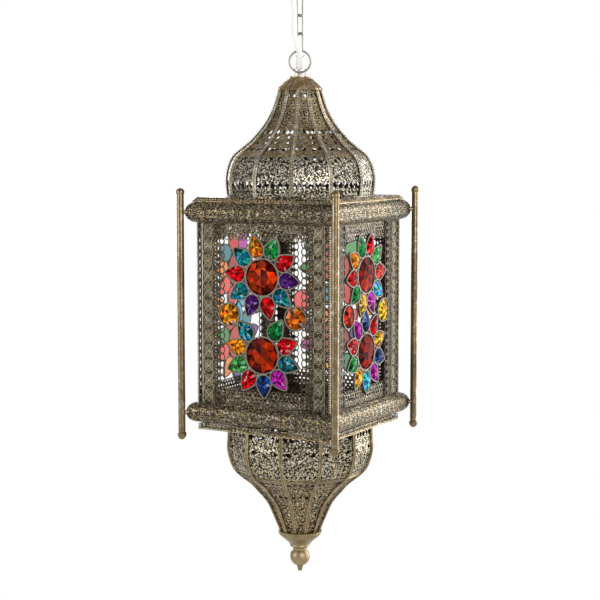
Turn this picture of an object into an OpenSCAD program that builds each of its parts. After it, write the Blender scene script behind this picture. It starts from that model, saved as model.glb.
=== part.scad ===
// Hanging jewelled lantern with an onion dome, a square glazed body, four corner posts,
// a hinged domed base and its chain, flex and ceiling fitting.
// Z = 0 is the ceiling, the lantern hangs below it, and the wide front face looks along -Y.

/* [Ceiling fitting] */
// Diameter of the ceiling canopy
canopy_d = 96; // [80:1:140]
// Height of the ceiling canopy
canopy_h = 28; // [24:1:45]
// Sheet thickness of the canopy
canopy_wall = 1; // [0.8:0.1:2]
// Diameter of the fixing plate inside the canopy
plate_d = 60; // [58:1:68]
// Thickness of the fixing plate
plate_t = 2.5; // [2:0.1:4]
// Distance between the two ceiling screw holes
screw_spacing = 48; // [36:1:50]
// Diameter of the ceiling screw holes
screw_hole_d = 4.5; // [3.5:0.1:5.5]
// Diameter of the hook's threaded stem
stem_d = 6; // [5:0.1:8]
// Thickness of the nut under the canopy
nut_h = 3; // [2:0.1:5]
// Wire diameter of the hook's eye
eye_wire = 2.5; // [2:0.1:3]
// Inner diameter of the hook's eye
eye_d = 9; // [8:0.2:12]

/* [Chain and ring] */
// Overall length of one chain link
link_len = 24; // [20:0.5:32]
// Overall width of one chain link
link_w = 10; // [9:0.2:12]
// Wire diameter of the chain
link_wire = 1.8; // [1.4:0.1:2.2]
// Outer diameter of the hanging ring
ring_d = 26; // [25:0.5:34]
// Wire diameter of the hanging ring
ring_wire = 2.2; // [1.8:0.1:2.6]
// Turn of the ring and its bracket about the vertical, in degrees
hang_turn = 30; // [20:1:45]

/* [Flex] */
// Diameter of the flex
flex_d = 6; // [5:0.2:6.4]
// Outer diameter of the sleeve on the flex
sleeve_d = 10; // [8:0.5:11]
// Length of the sleeve on the flex
sleeve_len = 14; // [12:0.5:17]

/* [Ring bracket and cap] */
// Distance between the middles of the bracket's two ears
ear_spacing = 11.4; // [10.6:0.1:12.4]
// Wall of an ear around its hole
ear_wall = 0.9; // [0.8:0.1:1.6]
// Sheet thickness of the bracket
ear_t = 1; // [0.8:0.1:1.4]
// Gap between the ring and the bracket's base
ear_gap = 3.5; // [0.4:0.1:5]
// Diameter of the cap's flat top
cap_top_d = 24; // [16.4:0.1:26]
// Height of the fluted cap
cap_h = 14.5; // [12:0.5:26]
// Number of flutes on the cap
flutes = 20; // [12:1:28]

/* [Upper dome] */
// Height of the onion dome above its base ring
dome_h = 116.5; // [90:0.5:160]
// Diameter of the dome where the cap sits
neck_d = 45.6; // [42:0.2:60]
// How far the dome's foot stands inside the edge of the top plate
dome_inset = 2; // [1:0.1:12]
// Turn of the dome's seams from those of the lower dome, in degrees
dome_turn = 8; // [0:1:15]
// Sheet thickness of both domes
dome_wall = 1; // [0.8:0.1:1.6]
// Number of gores in each dome
gores = 12; // [10:1:16]
// Width of the ribs that cover the seams
rib_w = 3; // [2:0.1:4.5]
// Height of the ribs above the sheet
rib_t = 1.2; // [0.8:0.1:2]

/* [Square body] */
// Side of the square body over its corner angles
body_side = 168; // [166:1:196]
// Sheet thickness of the body
sheet = 1.2; // [0.8:0.1:1.6]
// Width of each flange of the corner angles
column_w = 28; // [20:0.5:28]
// Height of the stepped rim of the top plate
step_h = 5; // [3:0.5:9]
// Height of the half-round cornices
cornice_h = 23; // [16:0.5:30]
// How far the cornices stand out from the body
cornice_out = 10; // [7:0.5:13]
// How far the stepped rim slopes out to its foot
step_out = 4; // [0:0.5:6]
// Depth of the pierced valances past the cornices
valance_h = 19; // [14:0.5:24]
// Width of one scallop along a valance's edge
scallop_w = 8; // [6:0.5:12]

/* [Jewels] */
// Diameter of the round glass in the middle of a flower
centre_d = 40; // [39:0.5:43]
// Width of a pear-shaped glass
pear_w = 18; // [15:0.2:18.2]
// Length of a pear-shaped glass
pear_len = 25; // [23:0.5:27]
// Diameter of the two round glasses at the sides of a panel
side_gem_d = 25; // [18:0.5:25]
// How far the petals of one flower reach in between those of the other
interlock = 8; // [4:0.5:8]
// How far the outer petals lap over a valance
petal_lap = 8; // [4:0.5:10]
// Wall of the bezel around a glass
bezel_wall = 1.3; // [1.1:0.1:1.8]
// Depth of a bezel
bezel_t = 2.5; // [1.8:0.1:3.5]
// Height of a glass above its bezel
gem_rise = 2; // [1:0.1:3]
// Gap between a glass and its bezel
gem_fit = 0.1; // [0.05:0.01:0.2]

/* [Corner posts] */
// Diameter of the posts
post_d = 8; // [6:0.5:10]
// Clear distance from a cornice's corner to its post
post_gap = 1; // [0.6:0.1:6]
// Length of a post above the top of the cornice
post_above = 10.5; // [6:0.5:20]
// Length of a post below the bottom of the cornice
post_below = 19.5; // [10:0.5:24]
// Diameter of the studs that hold the posts
stud_d = 4.4; // [3:0.1:6]

/* [Lamp] */
// Diameter of the lampholder's opening
socket_d = 26.8; // [14.2:0.2:27.4]
// Depth of the lampholder's opening
socket_depth = 26; // [20:0.5:30]
// Wall of the lampholder
socket_wall = 4; // [2.5:0.5:6]
// Width of the bridge that carries the lampholder
bridge_w = 22; // [16:1:40]

/* [Hinged base] */
// Gap between the body and the hinged base
hatch_gap = 5; // [4.4:0.1:8]
// Thickness of the base plate
base_t = 2; // [1.5:0.1:3]
// How far the base plate and lower dome stand inside the body's sides
base_inset = 1; // [0.6:0.1:8]
// Height of the lower dome
bowl_h = 125.5; // [90:0.5:150]
// Diameter of the lower dome where its cup sits
foot_d = 43.2; // [40:0.2:56]
// Diameter of the hinge pin
pin_d = 2; // [1.6:0.1:2.2]
// Length of the hinge
hinge_len = 44; // [36:1:70]

/* [Finial] */
// Height of the serrated cup under the lower dome
cup_h = 16.4; // [10:0.2:20]
// Number of teeth on the cup's rim
teeth = 24; // [16:1:32]
// Diameter of the finial's ball
ball_d = 22.8; // [17:0.2:30]
// Diameter of the finial's neck
finial_neck_d = 16; // [10:0.2:17]
// Length of the tip below the ball
tip_len = 6.4; // [4:0.2:12]

/* [Hidden] */
$fn = 48;
eps = 0.01;
play = 0.1;
run = 0.3;
// Room for the ring to tilt on the bar of the last link
ring_play = 0.3;
// Flat rim of the canopy, and the radius of its flat foot
canopy_rim = 6;
canopy_foot_r = 24;
// How far the flex leaves the canopy from its middle, each way
grip_out = 10;
// How far the flex stands behind the middle of the bracket
flex_back = 4.6;
// Thickness of the lampholder's bridge, and the lampholder's head above its bore
bridge_t = 2;
holder_head = 14;
holder_skirt = 8;
// How far the hinge's axis stands behind the body
hinge_out = 3;
// How far the cap and the cup stand out past the ends of the domes
cap_lip = 2.4;
cup_lip = 3.4;
// Place and width of the front catch
catch_x = 34;
catch_w = 6;

// Silhouettes as [share of the height, share of the way from the neck to the widest radius]
DOME = [[0, .975], [.09, .997], [.16, 1], [.24, .972], [.31, .926], [.37, .85], [.43, .717],
        [.5, .547], [.57, .422], [.65, .293], [.74, .185], [.85, .089], [1, 0]];
BOWL = [[0, 1], [.1, 1.004], [.2, 1.016], [.28, .985], [.35, .941], [.415, .863], [.475, .726],
        [.54, .56], [.61, .433], [.68, .309], [.75, .217], [.84, .137], [1, 0]];
BELL = [[0, 1], [.15, .93], [.32, .76], [.5, .55], [.7, .3], [.85, .12], [1, 0]];
CUP = [[0, 1], [.22, .97], [.35, .85], [.51, .625], [.65, .43], [.8, .206], [1, 0]];

// Heights down the suspension
eye_c = -(canopy_h + nut_h + 1.3 + eye_d / 2 + eye_wire);
link_pitch = link_len - 2 * link_wire - play;
link3_c = eye_c - eye_d / 2 + play + link_wire - link_len / 2;
link2_c = link3_c - link_pitch;
link1_c = link2_c - link_pitch;
ring_r = (ring_d - ring_wire) / 2;
ring_c = link1_c - link_len / 2 + link_wire + ring_play + ring_wire / 2 - ring_r;
function ring_z(a) = -sqrt(ring_r * ring_r - a * a);
function ring_half(a) = -ring_wire / 2 * ring_r / ring_z(a);
ear_out = (ear_spacing + ear_t) / 2;
ear_in = (ear_spacing - ear_t) / 2;
ear_top = ring_z(ear_out) + ring_half(ear_out);
ear_foot = ring_z(ear_in) - ring_half(ear_in);
ear_hole_d = ear_top - ear_foot + 3 * play;
ear_hole_z = ring_c + (ear_top + ear_foot) / 2;
ear_w = ear_hole_d + 2 * ear_wall;
cap_z = ring_c - ring_d / 2 - ear_gap - ear_t;
ear_h = ear_hole_z - cap_z - ear_t;
foot_ring_h = 2;
top_z = cap_z - cap_h - dome_h - foot_ring_h;

// Heights of the body, all from the top plate's upper face
half = body_side / 2;
inner = half - sheet;
petal_r = centre_d / 2 + bezel_wall + 0.7 + pear_w / 2;
tip_r = 0.8;
// Radius of the bulging sides of a pear
pear_side_r = 40;
pear_d = pear_len - pear_w / 2 - tip_r;
flower_r = petal_r + pear_d + tip_r;
flower_gap = 2 * flower_r - interlock;
panel_top = -step_h - cornice_h;
panel_h = 2 * (valance_h - petal_lap) + 2 * flower_r + flower_gap;
panel_bottom = panel_top - panel_h;
panel_mid = (panel_top + panel_bottom) / 2;
body_bottom = panel_bottom - cornice_h;
hatch_top = body_bottom - hatch_gap;
bowl_top = hatch_top - base_t;
cup_top = bowl_top - bowl_h;
upper_z = panel_mid + flower_gap / 2;
lower_z = panel_mid - flower_gap / 2;
opening_w = body_side - 2 * column_w;
side_x = opening_w / 2 - side_gem_d / 2 - bezel_wall;

// Radii of the domes, at their seams
neck_r = neck_d / 2;
dome_foot_r = half - dome_inset;
dome_r = neck_r + (dome_foot_r - neck_r) / DOME[0][1];
bowl_r = half - base_inset;
foot_r = foot_d / 2;
cup_foot_r = foot_r / 2 + 0.8;

// Posts stand on the diagonals
corner_r = (half + cornice_out) * sqrt(2);
post_r = corner_r + post_gap + post_d / 2;
post_top = post_above;
post_foot = body_bottom - post_below;
hinge_y = half + hinge_out;
hinge_z = body_bottom - hatch_gap / 2;
knuckle_r = hatch_gap / 2 - 0.1;

// Glass: red, amber, green, teal, violet, blue; -1 leaves a place empty.
// Each flower is [angle of its first petal, centre's colour, colours of its ten petals].
GLASS = ["#a3120e", "#d98a1c", "#1f8a3c", "#17a0a0", "#7b2a8f", "#2438a8"];
FACES = [
  [[31, 0, [0, 2, 1, 3, 0, 2, 4, 0, 3, 4]], [22, 0, [0, 2, -1, 3, 1, 2, 0, 5, 4, 3]], [1, 1]],
  [[3, 0, [0, 2, 0, 2, 1, 0, 2, 1, 4, 3]], [20, 0, [1, 0, 5, 4, 0, 2, 1, 3, 4, 5]], [0, 1]],
  [[31, 0, [3, 0, 4, 2, 1, 5, 0, 3, 1, 2]], [22, 0, [4, 1, -1, 0, 5, 3, 2, 1, 0, 3]], [1, 0]],
  [[3, 0, [1, 3, 0, 4, 2, 0, 5, 2, 0, 1]], [20, 0, [2, 0, 3, 1, 4, 0, 2, 5, 1, 0]], [1, 1]]];
brass = "#6e644b";
brass_light = "#9a9078";
silver = "#b9b6ad";
white = "#ecebe6";
steel = "#8d8d8a";

// Route of the flex through the ring, as [right, back, up from the ring's middle]: up beside the
// chain to the canopy, and down into the dome to the lampholder
grip_x = -grip_out * cos(hang_turn) + grip_out * sin(hang_turn);
grip_y = -grip_out * sin(hang_turn) - grip_out * cos(hang_turn);
sleeve_tilt = 32;
sleeve_up = 6.5;
flex_head = -canopy_h - 0.2 - ring_c;
flex_end = top_z + 4 - ring_c;
flex_u = [[0, -2.6, 4.2], [-0.3, -4.9, 7.9], [-1.2, -7, 12.2], [-3.6, -8.6, 18.6],
          [-5.8, -8.4, 27.5], [-6.6, -7.2, 40], [-6.6, -6.6, 54], [-8, -8, flex_head - 21],
          [-9.6, -9.6, flex_head - 9], [-grip_out, -grip_out, flex_head]];
flex_l = [[0, 2.6, -4.2], [0, 4, -6.6], [0, flex_back, -9.5], [0, flex_back, -14],
          [0, flex_back, -20], [0, 3, -34], [0, 0.6, -54], [0, 0, -76], [0, 0, -110],
          [0, 0, flex_end]];

// Points of a silhouette, from its foot at z = 0 up
function outline(shape, r0, r1, h) = [for (p = shape) [r0 + (r1 - r0) * p[1], h * p[0]]];
function unit(v) = v / norm(v);
function side(p, i) = let (d = unit(p[min(i + 1, len(p) - 1)] - p[max(i - 1, 0)])) [d[1], -d[0]];
function shifted(p, w) = [for (i = [0 : len(p) - 1]) p[i] + w * side(p, i)];
function reversed(p) = [for (i = [len(p) - 1 : -1 : 0]) p[i]];
function level(p, q) = [for (i = [0 : len(p) - 1]) [p[i][0], q[i][1]]];
// A band of sheet between two offsets of a silhouette, with level ends
function band(p, a, b) = concat(shifted(p, a), reversed(shifted(p, b)));
function arc(r, a0, a1, n, c = [0, 0]) =
  [for (i = [0 : n]) let (t = a0 + (a1 - a0) * i / n) c + r * [cos(t), sin(t)]];
// A pear grown by g: a round end at the origin, bulging sides, and a tip at distance d
function arc_inside(r, a0, a1, n, c) =
  [for (i = [1 : n - 1]) let (t = a0 + (a1 - a0) * i / n) c + r * [cos(t), sin(t)]];
function pear(r1, r2, d, g) = let (
    a = pear_side_r - r1, b = pear_side_r - r2, x = (d * d + a * a - b * b) / (2 * d),
    y = sqrt(a * a - x * x), r = pear_side_r + g, t1 = atan2(y, -x),
    sharp = r2 + g < 0.2, t2 = sharp ? asin(y / r) : atan2(y, d - x))
  concat(arc(r1 + g, t1, 360 - t1, 16), arc_inside(r, -t1, -t2, 5, [x, y]),
    sharp ? [[x + r * cos(t2), 0]] : arc(r2 + g, -t2, t2, 4, [d, 0]),
    arc_inside(r, t2, t1, 5, [x, -y]));
function petal_angle(f, i) = f[0] + 36 * i;

// Catmull-Rom curve through a route's points
function spline(p, n) = [for (i = [0 : len(p) - 2]) for (k = [0 : n - 1]) let (
    t = k / n, a = p[max(i - 1, 0)], b = p[i], c = p[i + 1], d = p[min(i + 2, len(p) - 1)])
    0.5 * (2 * b + t * (c - a) + t * t * (2 * a - 5 * b + 4 * c - d)
      + t * t * t * (3 * b - 3 * c + d - a)), p[len(p) - 1]];
function frame_at(p, i) = let (t = unit(p[min(i + 1, len(p) - 1)] - p[max(i - 1, 0)]),
  u = unit([1, 0, 0] - t[0] * t)) [u, cross(t, u)];
module tube(p, r, a, b, n = 10) {
  m = b - a + 1;
  pts = [for (i = [a : b]) let (f = frame_at(p, i)) for (k = [0 : n - 1])
    p[i] + r * (cos(360 * k / n) * f[0] + sin(360 * k / n) * f[1])];
  walls = [for (i = [0 : m - 2]) for (k = [0 : n - 1]) let (j = (k + 1) % n)
    [i * n + k, (i + 1) * n + k, (i + 1) * n + j, i * n + j]];
  polyhedron(pts, concat([[for (k = [0 : n - 1]) k]], walls,
    [[for (k = [n - 1 : -1 : 0]) (m - 1) * n + k]]), convexity = 4);
}

module at(z) translate([0, 0, z]) children();
module in_body() translate([0, 0, top_z]) children();
module hung() at(ring_c) rotate([0, 0, hang_turn]) children();
module on_face(i) rotate([0, 0, 90 * i]) children();
// Stands a flat shape up on the front face: x to the right, y up, its back at y = -back
module upright(back, t) translate([0, -back, 0]) rotate([90, 0, 0])
  linear_extrude(height = t) children();

// Ceiling fitting
module ceiling_plate() color(steel) difference() {
  at(-plate_t) cylinder(d = plate_d, h = plate_t);
  at(-plate_t - eps) cylinder(d = stem_d + play, h = plate_t + 2 * eps);
  for (s = [-1, 1]) translate([s * screw_spacing / 2, 0, -plate_t - eps])
    cylinder(d = screw_hole_d, h = plate_t + 2 * eps);
}

module canopy_outline(w) {
  r = canopy_d / 2 - w;
  b = canopy_foot_r - w;
  polygon([[0, eps * (w > 0 ? 1 : 0)], [r, eps * (w > 0 ? 1 : 0)], [r, -canopy_rim],
    [r - (r - b) * .3, -canopy_rim - (canopy_h - canopy_rim) * .4 + w / 2],
    [r - (r - b) * .75, -canopy_rim - (canopy_h - canopy_rim) * .75 + w], [b, -canopy_h + w],
    [0, -canopy_h + w]]);
}
module flex_hole(d, h) translate([grip_x, grip_y, -canopy_h - h])
  cylinder(d = d, h = 2 * h + canopy_wall);
module ceiling_canopy() color(brass_light) difference() {
  rotate_extrude($fn = 96) difference() {
    canopy_outline(0);
    canopy_outline(canopy_wall);
  }
  at(-canopy_h - 1) cylinder(d = stem_d + play, h = canopy_wall + 2);
  flex_hole(flex_d + 3, 1);
}
module ceiling_hook() color(steel) {
  at(-plate_t - 3) cylinder(d = stem_d + 6, h = 3);
  difference() {
    at(eye_c + (eye_d + eye_wire) / 2) cylinder(d = stem_d, h = -eye_c - (eye_d + eye_wire) / 2);
    at(eye_c) rotate([0, 0, hang_turn + 45]) rotate([90, 0, 0])
      cylinder(d = eye_d + eye_wire / 2, h = 40, center = true);
  }
  at(eye_c) rotate([0, 0, hang_turn + 45]) rotate([90, 0, 0])
    rotate_extrude() translate([(eye_d + eye_wire) / 2, 0]) circle(d = eye_wire);
}
module canopy_nut() color(brass_light) difference() {
  at(-canopy_h - nut_h) cylinder(d = stem_d + 9, h = nut_h);
  at(-canopy_h - nut_h - eps) cylinder(d = stem_d + play, h = nut_h + 2 * eps);
}
module cord_grip() color(white) translate([grip_x, grip_y, 0]) difference() {
  union() {
    at(-canopy_h - 3) cylinder(d = flex_d + 6, h = 3);
    at(-canopy_h) cylinder(d = flex_d + 3 - play, h = canopy_wall + 2);
  }
  at(-canopy_h - 4) cylinder(d = flex_d + play, h = canopy_wall + 8);
}

// One oval link in the XZ plane, its middle at the origin
module oval_link() {
  r = (link_w - link_wire) / 2;
  s = (link_len - link_w) / 2;
  for (a = [0, 1]) mirror([0, 0, a]) at(s) rotate([90, 0, 0])
    rotate_extrude(angle = 180) translate([r, 0]) circle(d = link_wire);
  for (x = [-r, r]) translate([x, 0, -s]) cylinder(d = link_wire, h = 2 * s);
}
module chain_link_3() color(steel) at(link3_c) rotate([0, 0, hang_turn - 45]) oval_link();
module chain_link_2() color(steel) at(link2_c) rotate([0, 0, hang_turn + 45]) oval_link();
module chain_link_1() color(steel) at(link1_c) rotate([0, 0, hang_turn - 45]) oval_link();
module hanging_ring() color(steel) hung() rotate([90, 0, 0])
  rotate_extrude($fn = 64) translate([ring_r, 0]) circle(d = ring_wire);

// Flex, in two stretches that meet in the ring
flex_route = spline(concat(reversed(flex_l), [[0, 0, 0]], flex_u), 4);
flex_mid = 4 * len(flex_l);
module flex_upper() color(white) hung()
  tube(flex_route, flex_d / 2, flex_mid, len(flex_route) - 1);
module flex_lower() color(white) hung() tube(flex_route, flex_d / 2, 0, flex_mid);
module flex_sleeve() color(white) hung() rotate([sleeve_tilt, 0, 0])
  at(sleeve_up - sleeve_len) difference() {
    cylinder(d = sleeve_d, h = sleeve_len);
    at(-eps) cylinder(d = flex_d + 2 * play, h = sleeve_len + 2 * eps);
  }

// Bracket, cap and onion dome
module ring_bracket() color(brass_light) at(cap_z) rotate([0, 0, hang_turn]) {
  difference() {
    cylinder(d = cap_top_d, h = ear_t);
    translate([-flex_d / 2 - run, flex_back, -1]) cube([flex_d + 2 * run, cap_top_d, ear_t + 2]);
    translate([0, flex_back, -1]) cylinder(d = flex_d + 2 * run, h = ear_t + 2);
  }
  for (s = [-1, 1]) translate([s * ear_spacing / 2 - ear_t / 2, 0, 0]) rotate([90, 0, 90])
    linear_extrude(height = ear_t) difference() {
      union() {
        translate([0, ear_t + ear_h]) circle(d = ear_w);
        translate([-ear_w / 2, ear_t / 2]) square([ear_w, ear_h + ear_t / 2]);
      }
      translate([0, ear_t + ear_h]) circle(d = ear_hole_d);
    }
}
module dome_cap() color(brass) at(cap_z - cap_h) {
  p = outline(BELL, cap_top_d / 2, neck_r + cap_lip, cap_h);
  rotate_extrude($fn = 96) difference() {
    polygon(concat([[0, 0]], p, [[0, cap_h]]));
    polygon(concat([[0, 1]], [for (q = p) if (q[1] < cap_h - 1 && q[1] > 0) [q[0] - 1.4, q[1] + .3]],
      [[flex_d / 2 + 5, cap_h - 1], [0, cap_h - 1]]));
    translate([-eps, -1]) square([neck_r - 4 + eps, 3]);
    translate([-eps, cap_h - 2]) square([flex_back + flex_d / 2 + .2, 3]);
  }
  for (i = [0 : flutes - 1]) rotate([0, 0, 360 * i / flutes]) rotate([90, 0, 0])
    linear_extrude(height = 1.4, center = true)
      polygon(band([for (k = [0 : 5]) p[k]], -0.3, 0.7));
}
// A round of flat-across gores, and the ribs that cover their seams
module gore_round(p) {
  q = [for (v = p) [v[0] * cos(180 / gores), v[1]]];
  h = p[len(p) - 1][1];
  a = 180 / gores;
  for (i = [0 : gores - 1]) rotate([0, 0, 360 * (i + .5) / gores]) intersection() {
    rotate([90, 0, 0]) linear_extrude(height = body_side / 2, center = true)
      polygon(band(q, 0, -dome_wall));
    at(0) linear_extrude(height = h) polygon([[0.4 / sin(a), 0],
      [body_side, (body_side - 0.4 / sin(a)) * tan(a)],
      [body_side, -(body_side - 0.4 / sin(a)) * tan(a)]]);
  }
}
module rib_round(p) {
  h = p[len(p) - 1][1];
  for (i = [0 : gores - 1]) rotate([0, 0, 360 * i / gores]) intersection() {
    rotate([90, 0, 0]) linear_extrude(height = rib_w, center = true)
      polygon(band(p, -0.05, rib_t));
    cylinder(r = body_side, h = h);
  }
}
module dome_turned() in_body() at(foot_ring_h) rotate([0, 0, 180 / gores + dome_turn]) children();
module dome_panels() color(brass) dome_turned() gore_round(outline(DOME, neck_r, dome_r, dome_h));
module dome_ribs() color(brass_light) dome_turned()
  rib_round(outline(DOME, neck_r, dome_r, dome_h));
module dome_base_ring() color(brass) in_body() difference() {
  cylinder(r = dome_foot_r + rib_t, h = foot_ring_h, $fn = 96);
  at(-1) cylinder(r = dome_foot_r * cos(180 / gores) - 5, h = foot_ring_h + 2, $fn = 96);
}

// Square body
module top_plate() color(brass) in_body() difference() {
  union() {
    translate([-half, -half, -step_h]) cube([body_side, body_side, step_h]);
    for (i = [0 : 3]) on_face(i) mitred(-step_h, 0)
      polygon([[-sheet, -step_h], [step_out, -step_h], [step_out, -step_h + .6], [0, 0],
        [-sheet, 0]]);
  }
  translate([-inner, -inner, -step_h - 1]) cube([2 * inner, 2 * inner, step_h + 1 - sheet]);
  at(-step_h) cylinder(r = dome_foot_r * cos(180 / gores) - 5, h = step_h + 1, $fn = 96);
}
module lamp_bridge() color(brass) in_body() at(-sheet - bridge_t) difference() {
  translate([-inner + sheet, -bridge_w / 2, 0]) cube([2 * (inner - sheet), bridge_w, bridge_t]);
  at(-eps) cylinder(d = flex_d + 4 + play, h = bridge_t + 2 * eps);
}
module lampholder() color(white) in_body() at(-sheet - bridge_t) {
  outer_d = socket_d + 2 * socket_wall;
  foot = -socket_depth - holder_head;
  difference() {
    union() {
      cylinder(d = flex_d + 4, h = bridge_t + 8);
      at(bridge_t + eps) cylinder(d = flex_d + 9, h = 3);
      at(foot) cylinder(d = outer_d, h = socket_depth + holder_skirt);
      at(foot + socket_depth + holder_skirt)
        cylinder(d1 = outer_d, d2 = flex_d + 10, h = holder_head - holder_skirt);
      at(foot + 4) cylinder(d = outer_d + 5, h = 4);
    }
    at(foot - eps) cylinder(d = socket_d, h = socket_depth);
    at(-holder_head) cylinder(d = flex_d + 2 * play, h = holder_head + bridge_t + 9);
  }
}
// Half-round cornice: one side with half of each rounded corner
module cornice_profile(a, b) {
  n = 12;
  polygon([for (i = [0 : n]) let (t = -90 + 180 * i / n) [a * cos(t), b * sin(t)]]);
}
module cornice_shell() difference() {
  cornice_profile(cornice_out, cornice_h / 2);
  cornice_profile(cornice_out - sheet, cornice_h / 2 - sheet);
}
// One side of a moulding with mitred ends, from an outline of [out from the body, up]
module mitred(h0, h1) intersection() {
  w = 2 * (half + 2 * cornice_out);
  translate([-w / 2, -half, 0]) rotate([90, 0, 90]) linear_extrude(height = w)
    mirror([1, 0]) children();
  at(h0) linear_extrude(height = h1 - h0)
    polygon([[0, 0], [-w / 2, -w / 2], [w / 2, -w / 2]]);
}
module cornice_side(z) in_body() at(z - cornice_h / 2)
  mitred(-cornice_h / 2, cornice_h / 2) cornice_shell();
module top_cornice(i) color(brass) on_face(i) cornice_side(-step_h);
module bottom_cornice(i) color(brass) on_face(i) cornice_side(panel_bottom);
module top_cornice_front() top_cornice(0);
module top_cornice_right() top_cornice(1);
module top_cornice_back() top_cornice(2);
module top_cornice_left() top_cornice(3);
module bottom_cornice_front() bottom_cornice(0);
module bottom_cornice_right() bottom_cornice(1);
module bottom_cornice_back() bottom_cornice(2);
module bottom_cornice_left() bottom_cornice(3);

// Corner angle at the front left, turned to its own corner
module column(i) color(brass) in_body() on_face(i) at(body_bottom + sheet)
  linear_extrude(height = -step_h - body_bottom - sheet) translate([-half, -half])
    polygon([[0, 0], [column_w, 0], [column_w, sheet], [sheet, sheet], [sheet, column_w],
      [0, column_w]]);
module column_front_left() column(0);
module column_front_right() column(1);
module column_back_right() column(2);
module column_back_left() column(3);

// Valances: a plain band with a scalloped edge, joined round the four sides
module valance_shape(w, solid) {
  n = round((w - 2 * sheet) / scallop_w);
  p = (w - 2 * sheet) / n;
  translate([-w / 2, 0]) square([w, solid + valance_h - scallop_w * 1.2]);
  for (i = [0 : n - 1]) translate([-w / 2 + sheet + (i + .5) * p, solid + valance_h - p / 2])
    circle(d = p - .2, $fn = 24);
  for (i = [0 : n - 1]) translate([-w / 2 + sheet + (i + .5) * p - p * .32,
    solid + valance_h - scallop_w * 1.2 - eps]) square([p * .64, scallop_w * 1.2 - p / 2]);
}
module valance_round(solid) for (i = [0 : 3]) on_face(i)
  upright(inner - sheet, sheet) valance_shape(2 * inner - (i % 2) * sheet, solid);
module top_valances() color(brass) in_body() at(-sheet) mirror([0, 0, 1])
  valance_round(step_h + cornice_h - sheet);
module bottom_valances() color(brass) in_body() at(body_bottom + sheet)
  valance_round(cornice_h - sheet);

// Jewels: c picks one colour of glass, and c = -2 takes every place
module flower_places(f, c) for (i = [0 : 9])
  if (f[2][i] >= 0 && (c == -2 || f[2][i] == c)) rotate([0, 0, petal_angle(f, i)])
    translate([petal_r, 0]) children();
module pear_shape(g) polygon(pear(pear_w / 2, tip_r, pear_d, g));
module gem_shapes(face, c, g) {
  for (k = [0, 1]) translate([0, k == 0 ? upper_z : lower_z]) {
    flower_places(face[k], c) pear_shape(g);
    if (c == -2 || face[k][1] == c) circle(d = centre_d + 2 * g, $fn = 64);
  }
  for (k = [0, 1]) if (c == -2 || face[2][k] == c)
    translate([(2 * k - 1) * side_x, panel_mid]) circle(d = side_gem_d + 2 * g, $fn = 48);
}
module jewel_frame(i) color(silver) in_body() on_face(i) upright(inner, bezel_t)
  difference() {
    gem_shapes(FACES[i], -2, bezel_wall);
    gem_shapes(FACES[i], -2, 0);
  }
module jewel_frame_front() jewel_frame(0);
module jewel_frame_right() jewel_frame(1);
module jewel_frame_back() jewel_frame(2);
module jewel_frame_left() jewel_frame(3);
module round_gem(d) rotate([90, 0, 0]) {
  cylinder(d = d - 2 * gem_fit, h = bezel_t - gem_fit);
  at(bezel_t - gem_fit) cylinder(d1 = d - 2 * gem_fit, d2 = d * .62, h = gem_rise);
}
module pear_gem() rotate([90, 0, 0]) {
  linear_extrude(height = bezel_t - gem_fit) pear_shape(-gem_fit);
  linear_extrude(height = bezel_t - gem_fit + gem_rise / 2) pear_shape(-1.4);
  linear_extrude(height = bezel_t - gem_fit + gem_rise) pear_shape(-3);
}
module glass(c) color(GLASS[c], 0.8) in_body() for (i = [0 : 3]) on_face(i)
  translate([0, -inner - gem_fit, 0]) {
    for (k = [0, 1]) at(k == 0 ? upper_z : lower_z) {
      for (n = [0 : 9]) if (FACES[i][k][2][n] == c) rotate([0, -petal_angle(FACES[i][k], n), 0])
        translate([petal_r, 0, 0]) pear_gem();
      if (FACES[i][k][1] == c) round_gem(centre_d);
    }
    for (k = [0, 1]) if (FACES[i][2][k] == c)
      translate([(2 * k - 1) * side_x, 0, panel_mid]) round_gem(side_gem_d);
  }
module glass_red() glass(0);
module glass_amber() glass(1);
module glass_green() glass(2);
module glass_teal() glass(3);
module glass_violet() glass(4);
module glass_blue() glass(5);

// Corner posts, with a ball at the top and a collared acorn at the foot
module post(i) color(brass) in_body() rotate([0, 0, 90 * i - 135]) translate([post_r, 0, 0]) {
  at(post_foot + 6) cylinder(d = post_d, h = post_top - post_foot - 10);
  at(post_top - post_d * .6) sphere(d = post_d * 1.2);
  at(post_foot) rotate_extrude() polygon([[0, 0], [post_d * .3, .5], [post_d * .55, 3],
    [post_d * .64, 5.5], [post_d * .64, 7.5], [post_d * .5, 8.5], [0, 8.5]]);
}
module post_front_left() post(0);
module post_front_right() post(1);
module post_back_right() post(2);
module post_back_left() post(3);
module post_studs() color(brass_light) in_body() for (i = [0 : 3]) rotate([0, 0, 90 * i - 135])
  for (z = [-step_h - cornice_h / 2, panel_bottom - cornice_h / 2]) at(z) difference() {
    translate([corner_r - stud_d, 0, 0]) rotate([0, 90, 0])
      cylinder(d = stud_d, h = post_gap + stud_d + post_d / 2);
    translate([post_r, 0, 0]) cylinder(d = post_d, h = 2 * stud_d, center = true);
    rotate([0, 0, 135]) intersection() {
      nose_block(0);
      nose_block(1);
    }
  }
// What a cornice's side and the body behind it fill, along a face that ends at a corner
module nose_block(k) rotate([0, 0, -90 * k]) translate([-body_side, -half, 0])
  rotate([90, 0, 90]) linear_extrude(height = 2 * body_side) mirror([1, 0]) union() {
    cornice_profile(cornice_out, cornice_h / 2);
    translate([-half, -cornice_h / 2]) square([half, cornice_h]);
  }

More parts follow.
